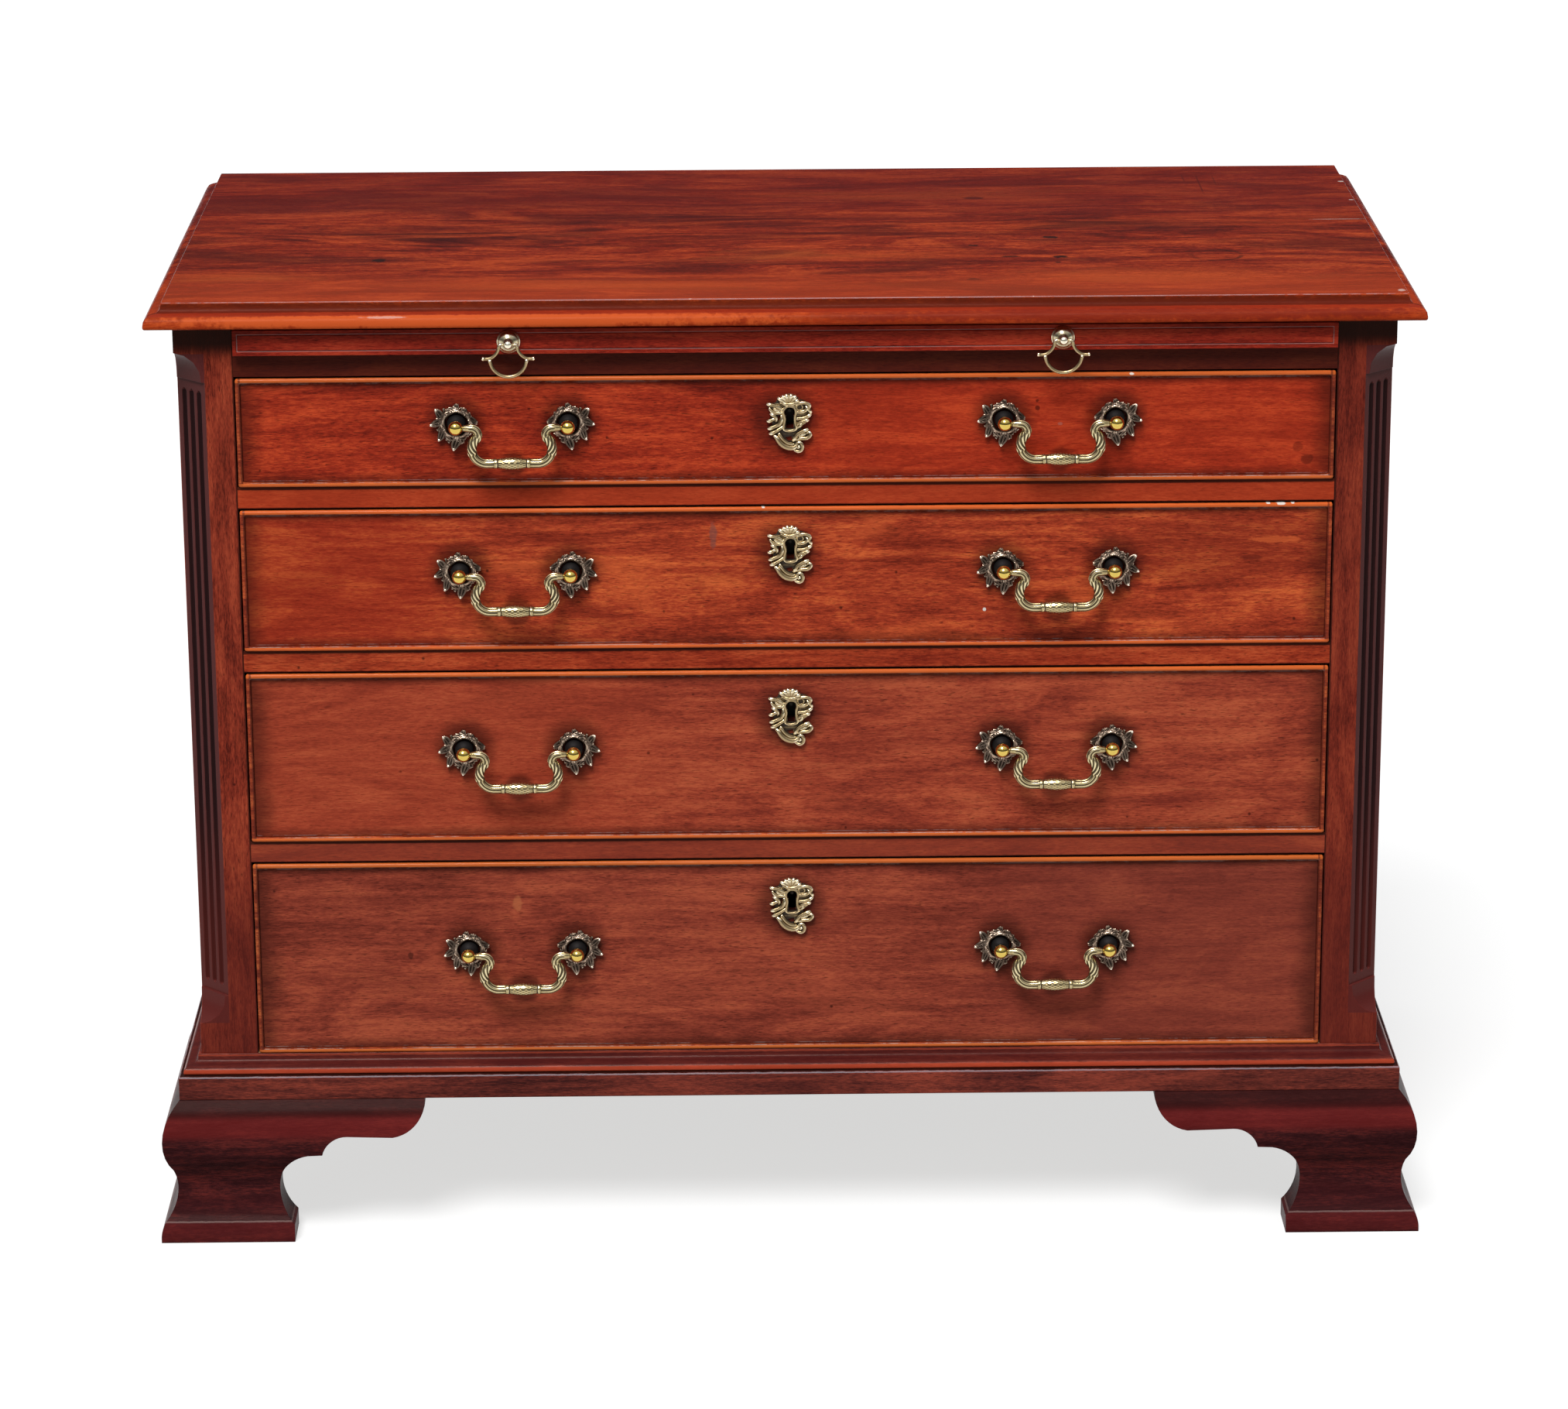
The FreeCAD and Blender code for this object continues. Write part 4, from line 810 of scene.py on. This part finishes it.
bossBrass = metal("bossBrass", (0.05, 0.036, 0.02), (0.52, 0.44, 0.27), (0.92, 0.86, 0.68),
                  cloudScale=110.0, patchy=0.12, wear=(0.0, 0.07, 0.2), rough=0.18)
ballGold = metal("ballGold", (0.30, 0.19, 0.04), (0.66, 0.48, 0.11), (0.88, 0.70, 0.22),
                 cloudScale=90.0, patchy=0.2, wear=(0.0, 0.15, 0.4), rough=0.09)

# swan-neck bail, made straight with its ornament and then bent to its line
bail = {"sides": 28, "grip": 12.5, "lip": 14.6, "sleeve": 36.0, "wrap": 54.0, "neck": 66.0, "root": 70.3,
        "end": 74.0, "gripEnd": 3.8, "gripSwell": 1.7, "neckRadius": 5.5, "elbowRadius": 12.5, "sweep": 135.0,
        "straight": 21.32, "inset": 13.2,
        "radii": {"lip": (4.6, 4.6), "sleeve": (4.3, 4.0), "wrap": (4.3, 4.3), "neck": (4.1, 3.5),
                  "root": (3.5, 2.6), "end": (2.1, 2.1)}}  # each part's first and last radius


def bailRadius(place):  # at a distance from the middle of the grip
    start = bail["grip"]
    if place <= start:
        return bail["gripEnd"] + bail["gripSwell"] * math.cos(math.pi * place / 2 / start)
    for part, (first, last) in bail["radii"].items():
        if place <= bail[part]:
            return first + (last - first) * (place - start) / (bail[part] - start)
        start = bail[part]


def bailRod():
    grip, twist = [1.25 * step for step in range(11)], [16.2 + 1.4 * step for step in range(38)]
    collar, tail = [12.7, 13.1, 14.2, 14.6, 14.8], [69.2, 70.3, 70.5, bail["end"]]
    half = grip + collar + twist + tail
    places = [-place for place in reversed(half[1:])] + half
    rod = turned([(place, bailRadius(abs(place))) for place in places], bail["sides"])
    moved(rod, turn=(0, math.pi / 2, 0))
    ranks = {round(place, 3): rank - len(half) + 1 for rank, place in enumerate(places)}

    def press(depth, low, high, chosen):  # pushes the chosen points between two places in or out
        editAll(rod)
        bpy.ops.mesh.select_all(action="DESELECT")
        bpy.ops.object.mode_set(mode="OBJECT")
        for vertex in rod.data.vertices:
            place = vertex.co.x / mm
            rank = ranks[min(ranks, key=lambda known: abs(known - place))]
            line = round(math.atan2(vertex.co.y, vertex.co.z) / (2 * math.pi / bail["sides"]))
            vertex.select = low <= abs(place) < high and chosen(rank, line)
        bpy.ops.object.mode_set(mode="EDIT")
        bpy.ops.transform.shrink_fatten(value=depth * mm)
        letGo()

    scaled, sleeve, wrap = bail["grip"] - 1, bail["sleeve"], bail["wrap"]
    press(0.6, 0, scaled, lambda rank, line: rank % 2 == 0 and (rank // 2 + line) % 2 == 0)
    press(-0.8, 0, scaled, lambda rank, line: rank % 2 == 0 and (rank // 2 + line) % 2 == 1)
    press(-0.75, bail["lip"] + 1, sleeve, lambda rank, line: line % 4 == 0)
    press(-0.95, sleeve, wrap, lambda rank, line: (line + abs(rank)) % 4 == 0)
    press(0.5, sleeve, wrap, lambda rank, line: (line + abs(rank)) % 4 == 2)
    press(-0.7, wrap, bail["neck"], lambda rank, line: line % 4 == 0)
    return rod


def bailLine():  # neck and elbow arcs of one side, then the other, as the curve that bends the rod
    neck, elbow, sweep = bail["neckRadius"], bail["elbowRadius"], bail["sweep"]
    span = (neck + elbow) * math.sin(math.radians(sweep))
    neckAt, elbowAt = (bail["straight"] + span, -neck), (bail["straight"], -neck - span)
    line = [(neckAt[0] + bail["inset"], 0.0)]
    line += [onCircle(neck, math.radians(90 + sweep * step / 12), neckAt) for step in range(13)]
    line += [onCircle(elbow, math.radians(45 - sweep * step / 24), elbowAt) for step in range(1, 25)]
    return [(-x, y) for x, y in line] + line[::-1]


def bentBail():
    rod = bailRod()
    points = bailLine()
    track = flatLine(points)
    length = sum(math.dist(first, second) for first, second in zip(points, points[1:]))
    moved(rod, at=(length / 2 * mm, 0, 0))
    applyMod(rod, "SUBSURF", levels=1, render_levels=1)
    applyMod(rod, "CURVE", object=track, deform_axis="POS_X")
    drop(track)
    smoothed(rod)
    grimed(rod)
    return dress(rod, bailBrass)


# rose of leaves round a domed seat, with the post and its ball
rose = {
    "leaves": (  # bearing, tip, width, sweep
        (7, 17.5, 7.0, 25), (36, 14.0, 7.0, 20), (66, 15.0, 6.5, -15), (92, 17.0, 6.0, 20),
        (121, 15.0, 7.0, -15), (150, 21.0, 7.0, 18), (170, 17.0, 5.5, -14), (188, 21.5, 7.0, -20),
        (209, 16.0, 6.0, 16), (228, 20.5, 7.0, -22), (249, 15.5, 5.5, 10), (268, 22.5, 7.5, 14),
        (292, 17.5, 6.0, -16), (320, 14.5, 7.0, 16), (345, 15.0, 6.0, -12)),
    "spans": (  # strokes of a leaf: side, lift, thickness, fan
        (0, 2.6, 0.42, 0.0), (1, 3.4, 0.17, 0.0), (-1, 3.4, 0.17, 0.0), (0, 4.0, 0.14, 0.0),
        (1, 2.6, 0.18, 15.0), (-1, 2.6, 0.18, -15.0)),
    "knob": ((-1.5, 3.4, 0.9), (0.0, 4.4, 1.3), (0.7, 4.0, 1.0), (1.1, 3.2, 0.3)),
    "wreath": (  # radius, wobble, lobes, start, lift, rod
        (10.8, 0.6, 5, 0.0, 5.0, 1.6), (12.2, 0.9, 8, 1.0, 4.2, 1.4)),
    "curls": (22, 52, 80, 107, 136, 160, 198, 219, 239, 258, 281, 306, 333),
    "curl": (24, 10.8, 4.4, 6.3, 2.0, 0.9, 0.4),  # sweep, start, reach, lift, fall, rod, taper
    "dome": ((0.2, 8.0), (3.0, 8.2), (5.0, 8.0), (7.0, 7.4), (9.0, 6.2), (10.6, 4.8), (12.0, 3.9),
             (13.2, 3.6), (14.6, 3.9), (15.2, 3.6)),
    "nut": ((-22.1, 5.6), (-22.4, 6.2), (-25.4, 6.2), (-25.9, 5.5), (-25.9, 2.5)),
    "tail": ((-27.0, 2.3), (0.4, 2.4)), "root": 10.5, "knobFrom": 19.2, "ball": (20.0, 6.2, 34, 12, 0.2, 32)}


def leaf(angle, tip, width, sweep):
    strokes = []
    root = rose["root"]
    for side, lift, thick, fan in rose["spans"]:
        blade = thick > 0.3
        points = []
        for share in (0.0, 0.3, 0.6, 0.85, 1.0):
            bearing = math.radians(angle + sweep * (1 - share) ** 1.5 + fan * share ** 2)
            out = root + (tip - root) * share * (0.62 if fan else 1.0)
            full = math.sin(math.pi * min(0.15 + share * 0.85, 1.0)) ** 0.7 if share < 1 else 0.12
            aside = side * width * 0.4 * full
            rise = lift + 1.8 * (1 - share) - 0.6 * math.sin(math.pi * share)
            radius = max(width * thick * (full if blade else 1.0), 0.35)
            cos, sin = math.cos(bearing), math.sin(bearing)
            points.append((out * cos - aside * sin, out * sin + aside * cos, rise, radius))
        made = stroke(points, rings=2, steps=3)
        if blade:
            moved(made, at=(0, 0, 1.6 * mm), size=(1, 1, 0.45))
        strokes.append(dress(made, roseBronze))
    if tip > rose["knobFrom"]:
        turn = math.radians(angle)
        knob = [(*onCircle(tip + past, turn), rise, radius) for past, rise, radius in rose["knob"]]
        strokes.append(dress(stroke(knob, rings=2, steps=3), tipBronze))
    return strokes


def ballOf(height, radius, start, steps, tip, sides):  # turned from where its neck meets it
    turns = [math.radians(start + (180 - start) * step / steps) for step in range(steps + 1)]
    rings = [(height - radius * math.cos(turn), max(radius * math.sin(turn), tip)) for turn in turns]
    return turned(rings, sides)


def roseAndPost():
    pieces, plain = [], []
    for values in rose["leaves"]:
        pieces += leaf(*values)
    for radius, wobble, lobes, start, lift, thick in rose["wreath"]:
        points = []
        for turn in [math.radians(15 * step) for step in range(24)]:
            far = radius + wobble * math.sin(lobes * turn + start)
            points.append((*onCircle(far, turn), lift + 0.4 * math.sin(lobes * turn), thick))
        plain.append(stroke(points, True, rings=2, steps=2))
    sweep, start, reach, lift, fall, rod, taper = rose["curl"]
    for angle in rose["curls"]:
        points = []
        for share in (0.0, 0.35, 0.7, 1.0):
            turn = math.radians(angle + sweep * share ** 1.5)
            points.append((*onCircle(start + reach * share, turn), lift - fall * share, rod - taper * share))
        plain.append(stroke(points, rings=2, steps=3))
    plain.append(turned(rose["dome"]))
    applyMod(plain[-1], "SUBSURF", levels=1, render_levels=1)
    plain += [turned(rose["tail"], 14), turned(rose["nut"], 6)]
    pieces += [dress(piece, roseBronze) for piece in plain]
    ball = dress(ballOf(*rose["ball"]), ballGold)
    return polished("roseAndPost", [joined("roseAndPost", pieces), ball], 50)


benchBail = bentBail()
benchRose = roseAndPost()
print("bail and rose modelled", len(benchBail.data.polygons), len(benchRose.data.polygons))

# escutcheon: a pierced cartouche of scrolls round the keyhole, points (x, z, radius) from the keyhole's round
cartouche = {
    "frame": (
        (0.2, 5.9, 1.3), (4.2, 4.7, 1.3), (5.6, 0.4, 1.3), (4.3, -3.9, 1.2), (4.6, -8.8, 1.2),
        (6.0, -14.0, 1.5), (1.0, -16.2, 1.5), (-4.6, -15.4, 1.4), (-5.4, -11.9, 1.3), (-4.1, -6.2, 1.2),
        (-4.4, -3.7, 1.2), (-6.0, 1.2, 1.3), (-3.4, 5.0, 1.3)),
    "scrolls": (
        ((-19.2, 7.3, 0.9), (-18.0, 7.2, 1.3), (-13.5, 6.6, 1.1), (-8.6, 4.5, 1.5), (-5.6, 1.6, 1.2)),
        ((-17.2, 4.6, 0.8), (-16.4, 1.6, 1.1), (-12.0, -0.4, 1.1), (-7.2, 0.2, 1.2), (-5.4, -1.0, 0.8)),
        ((-13.2, 5.2, 0.9), (-13.0, 2.8, 1.0), (-9.4, 2.0, 1.1), (-6.6, 3.0, 1.0)),
        ((-16.6, -1.0, 0.8), (-15.2, -1.6, 1.2), (-12.4, -3.0, 1.1), (-10.6, -6.4, 0.9), (-12.0, -8.4, 0.7)),
        ((-19.2, -7.4, 0.9), (-17.9, -7.4, 1.4), (-15.4, -6.6, 1.1), (-13.2, -5.0, 1.1), (-11.4, -6.6, 1.0)),
        ((-18.5, -14.1, 0.9), (-17.2, -13.9, 1.4), (-13.4, -12.3, 1.2), (-8.2, -10.2, 1.3), (-6.2, -4.5, 1.3),
         (-7.4, -1.6, 0.8)),
        ((-17.3, -18.6, 0.9), (-16.0, -18.3, 1.4), (-12.6, -16.6, 1.1), (-9.0, -14.6, 1.1),
         (-5.0, -11.9, 1.2)),
        ((-13.8, -19.9, 0.9), (-11.3, -21.2, 1.5), (-8.8, -26.0, 1.7), (-4.7, -29.4, 1.8), (0.2, -31.0, 1.8),
         (4.8, -30.4, 1.5), (6.2, -27.4, 0.9)),
        ((-9.4, -17.8, 1.0), (-8.0, -20.2, 1.1), (-5.6, -23.9, 1.1), (-0.6, -27.4, 1.2), (3.9, -27.8, 1.0)),
        ((3.4, -32.4, 0.8), (6.0, -34.2, 1.1), (9.8, -33.4, 1.2), (11.2, -29.0, 1.2), (8.6, -25.4, 1.1),
         (5.6, -27.4, 1.0), (6.4, -30.4, 1.0), (8.4, -29.8, 1.2), (8.0, -28.6, 0.9)),
        ((2.6, -24.6, 1.0), (3.6, -23.8, 1.3), (6.0, -19.3, 1.2), (10.1, -16.9, 1.2), (14.2, -15.0, 1.4),
         (15.8, -14.4, 0.8)),
        ((4.6, -24.0, 0.8), (6.6, -23.4, 1.1), (10.4, -22.4, 1.3), (14.8, -22.6, 1.3), (18.2, -19.4, 1.2),
         (16.4, -16.6, 1.0), (14.6, -18.4, 1.0)),
        ((7.4, -21.0, 0.8), (10.2, -19.6, 1.3), (13.4, -18.8, 1.0)),
        ((5.0, -5.3, 1.1), (9.3, -5.4, 1.2), (13.8, -4.3, 1.2), (17.2, -2.2, 1.3), (18.3, -1.2, 0.7)),
        ((5.4, -11.2, 1.1), (8.4, -8.8, 1.2), (12.6, -7.4, 1.2), (15.2, -6.6, 1.4), (16.2, -6.3, 0.8)),
        ((6.2, -13.6, 1.0), (8.4, -12.0, 1.1), (10.2, -9.8, 0.9), (13.4, -9.0, 0.7)),
        ((4.8, 6.0, 1.1), (8.4, 8.4, 1.2), (14.2, 8.4, 1.2), (17.4, 6.4, 1.3), (15.6, 2.6, 1.1),
         (18.4, 0.2, 1.2), (17.2, -1.2, 0.8)),
        ((5.6, 0.2, 1.1), (9.6, 0.4, 1.3), (13.6, 1.6, 1.1), (15.2, 4.6, 1.0), (13.0, 5.4, 0.8)),
        ((-10.0, 12.4, 0.9), (-8.8, 12.1, 1.4), (-5.6, 10.0, 1.2), (-2.6, 7.6, 0.9)),
        ((-6.4, 14.3, 0.9), (-5.6, 13.7, 1.5), (-3.6, 11.0, 1.2), (-1.8, 7.8, 0.9)),
        ((-2.9, 15.6, 0.9), (-2.6, 14.9, 1.6), (-1.8, 11.6, 1.2), (-1.0, 7.8, 0.9)),
        ((1.8, 15.6, 0.9), (1.4, 14.9, 1.6), (0.4, 11.6, 1.2), (-0.2, 7.8, 0.9)),
        ((5.4, 14.3, 0.9), (4.8, 13.6, 1.5), (2.8, 11.0, 1.2), (0.8, 7.8, 0.9)),
        ((7.6, 10.8, 0.8), (6.8, 10.6, 1.3), (4.4, 9.4, 1.1), (1.8, 7.6, 0.9)),
        ((-8.4, 9.2, 0.9), (-4.8, 7.6, 1.2), (-1.0, 6.9, 1.2), (4.0, 7.6, 1.2), (8.6, 8.6, 1.0))),
    "plate": (
        (-10.0, 12.4), (-6.2, 14.8), (-2.6, 16.0), (1.8, 16.0), (5.6, 14.6), (8.2, 11.2), (14.0, 9.4),
        (18.0, 7.0), (17.0, 2.6), (19.0, 0.2), (18.2, -2.4), (15.0, -5.0), (16.0, -6.8), (12.6, -9.6),
        (9.2, -12.6), (10.6, -16.0), (15.8, -14.2), (18.6, -18.2), (17.0, -21.6), (13.0, -23.4), (8.6, -24.2),
        (11.4, -28.4), (10.4, -33.0), (6.2, -34.6), (2.6, -32.6), (-3.0, -31.6), (-8.0, -28.8),
        (-11.4, -24.2), (-13.4, -20.6), (-17.2, -19.0), (-15.8, -15.8), (-18.6, -13.8), (-14.6, -10.6),
        (-15.2, -8.6),
        (-19.0, -7.4), (-15.8, -4.2), (-16.8, -0.8), (-14.2, 1.0), (-17.0, 4.6), (-18.8, 7.6), (-12.0, 8.2)),
    "pierced": (
        ((-10.6, -3.6), (-9.4, -8.8), (-8.0, -6.0), (-8.6, -2.4)),
        ((-4.4, -21.8), (-1.2, -24.8), (2.0, -24.4), (1.6, -20.6))),
    "bold": 1.45, "keyhole": 4.4, "slotWide": 3.3, "slotDrop": 14.0, "plateThick": 1.4, "scrollLift": 2.3,
    "pinHole": ((8.4, 4.5), 2.7, 0.9)}


def cartoucheBrass():
    lift, thick = cartouche["scrollLift"], cartouche["plateThick"]
    wide, fall = cartouche["slotWide"], cartouche["slotDrop"]
    pieces = [stroke([(x, z, lift + 0.6, radius) for x, z, radius in cartouche["frame"]], True)]
    for scroll in cartouche["scrolls"]:
        last = len(scroll) - 1
        points = []
        for count, (x, z, radius) in enumerate(scroll):
            rise = lift + 0.5 * math.sin(math.pi * count / last) - (0.9 if count in (0, last) else 0)
            points.append((x, z, rise, radius * cartouche["bold"]))
        pieces.append(stroke(points))
    centre, radius, rod = cartouche["pinHole"]
    turns = [math.radians(45 * step) for step in range(8)]
    pieces.append(stroke([(*onCircle(radius, turn, centre), 2.0, rod) for turn in turns], True))
    plate = moved(prism(cartouche["plate"], thick), at=(0, 0, (thick / 2 + 0.1) * mm))
    start = math.asin(wide / cartouche["keyhole"])
    sweep = [start + (2 * math.pi - 2 * start) * step / 24 - math.pi / 2 for step in range(25)]
    hole = [onCircle(cartouche["keyhole"], turn) for turn in sweep] + [(-wide, -fall), (wide, -fall)]
    for gap in (hole, *cartouche["pierced"]):
        cutter = prism(gap, 9.0)
        applyMod(plate, "BOOLEAN", operation="DIFFERENCE", object=cutter, solver="EXACT")
        drop(cutter)
    applyMod(plate, "BEVEL", width=0.35 * mm, segments=2, limit_method="ANGLE", angle_limit=math.radians(40))
    return dress(polished("cartouche", pieces + [plate]), plateBrass)


benchPlate = cartoucheBrass()
print("escutcheon modelled", len(benchPlate.data.polygons))

# brass on the drawers
for number in range(1, drawerCount + 1):
    z = drawerBrass["handleZ"][number - 1]
    mounts = []
    for hand, side in (("left", -1), ("right", 1)):
        x = side * drawerBrass["centre"]
        lean = math.radians((number * 37 + side * 5) % 11 - 5)
        mounts.append(standing(benchRose, x - drawerBrass["spread"], drawerBrass["front"], z, lean))
        mounts.append(standing(benchRose, x + drawerBrass["spread"], drawerBrass["front"], z, -lean, -1))
        swing = standing(benchBail, x, drawerBrass["pivot"], z)
        swing.name = "drawer_%d_bail_%s_brass" % (number, hand)
        seat(swing, "drawer_%d_bail_%s" % (number, hand))
    seat(joined("drawer_%d_handle_mounts_brass" % number, mounts), "drawer_%d_handle_mounts" % number)
    plate = standing(benchPlate, drawerBrass["keyX"], drawerBrass["front"], drawerBrass["keyZ"][number - 1])
    plate.name = "drawer_%d_escutcheon_brass" % number
    seat(plate, "drawer_%d_escutcheon" % number)
print("brass on the drawers")

# pulls of the slide: boss, post and ball, and a hanging horseshoe
pull = {"front": -265.25, "pivot": -277.75, "z": 803.3, "x": 233.0, "loopRadius": 15.5, "drop": 12.0,
        "rod": 1.6, "ball": (12.5, 3.9, 46, 10, 0.15, 24),
        "boss": ((0.0, 10.2), (1.0, 10.3), (1.8, 9.9), (2.4, 8.8), (3.4, 8.2), (4.6, 6.8), (5.6, 4.8),
                 (6.6, 3.4), (9.0, 2.9)),
        "arm": ((4.2, 0.2, 1.2), (7.4, 0.4, 1.7), (8.0, -4.6, 1.5), (10.8, -9.0, 1.5), (15.0, -11.9, 1.5),
                (19.6, -12.2, 1.5), (21.6, -11.9, 2.1), (22.3, -11.8, 1.2))}


def pullBoss():
    boss = turned(pull["boss"])
    applyMod(boss, "SUBSURF", levels=1, render_levels=1)
    return dress(polished("pullBoss", [boss, ballOf(*pull["ball"])], 50), bossBrass)


def pullLoop():
    pieces = [stroke([(side * x, y, 0, radius) for x, y, radius in pull["arm"]]) for side in (1, -1)]
    reach = pull["loopRadius"] / math.cos(math.radians(9))
    turns = [math.radians(-2 - 16 * step) for step in range(12)]
    pieces.append(stroke([(*onCircle(reach, turn, (0, -pull["drop"])), 0, pull["rod"]) for turn in turns]))
    return dress(polished("pullLoop", pieces), plateBrass)


benchBoss, benchLoop = pullBoss(), pullLoop()
bosses = []
for hand, side in (("left", -1), ("right", 1)):
    bosses.append(standing(benchBoss, side * pull["x"], pull["front"], pull["z"]))
    loop = standing(benchLoop, side * pull["x"], pull["pivot"], pull["z"])
    loop.name = "slide_ring_%s_brass" % hand
    seat(loop, "slide_ring_" + hand)
seat(joined("slide_pull_bosses_brass", bosses), "slide_pull_bosses")
for bench in (benchBail, benchRose, benchPlate, benchBoss, benchLoop):
    drop(bench)
print("slide pulls modelled")

stage = {"floorWide": 80.0, "floorGrey": (0.33,) * 3, "floorGlow": (0.66, 0.66, 0.655),
         "walls": (0.085, 0.088, 0.095), "ceiling": (0.80, 0.81, 0.83), "sunEnergy": 3.3, "sunAngle": 24,
         "sunWay": (0.18, 0.55, -0.82)}
black, white = (0.0, 0.0, 0.0), (1.0, 1.0, 1.0)
bpy.ops.mesh.primitive_plane_add(size=stage["floorWide"])
floor = bpy.context.object
floor.name = "floor"
pale = Finish("paleFloor")
pale.feed({"Base Color": stage["floorGrey"], "Roughness": 0.9, "Specular IOR Level": 0.0})
straight, mirrored, through = (pale.add("ShaderNodeLightPath", out="Is %s Ray" % kind)
                               for kind in ("Camera", "Glossy", "Transmission"))
seen = pale.most(straight, pale.most(mirrored, through))
pale.feed({"Emission Color": pale.blend(seen, black, stage["floorGlow"]), "Emission Strength": 1.0})
dress(floor, pale.material)

studio = Finish("studio", bpy.data.worlds, "Background")  # light from above, white to the camera
toward = studio.add("ShaderNodeTexCoord", out="Generated")
behind, height = (studio.add("ShaderNodeSeparateXYZ", {}, {0: toward}, axis) for axis in (1, 2))
height = height - studio.ease(behind, 0.2, 0.9) * 0.3
sky = studio.blend(studio.ease(height, 0.12, 0.8), stage["walls"], stage["ceiling"])
direct = studio.add("ShaderNodeLightPath", out="Is Camera Ray")
studio.feed({"Color": studio.blend(direct, sky, white), "Strength": 1.0})
scene.world = studio.material

bpy.ops.object.light_add(type="SUN")
sun = bpy.context.object
sun.name = "keyLight"
sun.data.energy = stage["sunEnergy"]
sun.data.angle = math.radians(stage["sunAngle"])
sun.rotation_euler = Vector(stage["sunWay"]).to_track_quat("-Z", "Y").to_euler()

cameraPlace = {"at": (-0.047, -4.516, 1.788), "yaw": -0.0103, "pitch": 0.2980, "roll": -0.0055,
               "lens": 118.92}
bpy.ops.object.camera_add()
camera = bpy.context.object
camera.data.lens = cameraPlace["lens"]
camera.data.sensor_width = 36.0
turn = (Matrix.Rotation(cameraPlace["yaw"], 4, "Z")
        @ Matrix.Rotation(math.pi / 2 - cameraPlace["pitch"], 4, "X")
        @ Matrix.Rotation(cameraPlace["roll"], 4, "Z"))
camera.matrix_world = Matrix.Translation(cameraPlace["at"]) @ turn
scene.camera = camera
print("light and camera set")
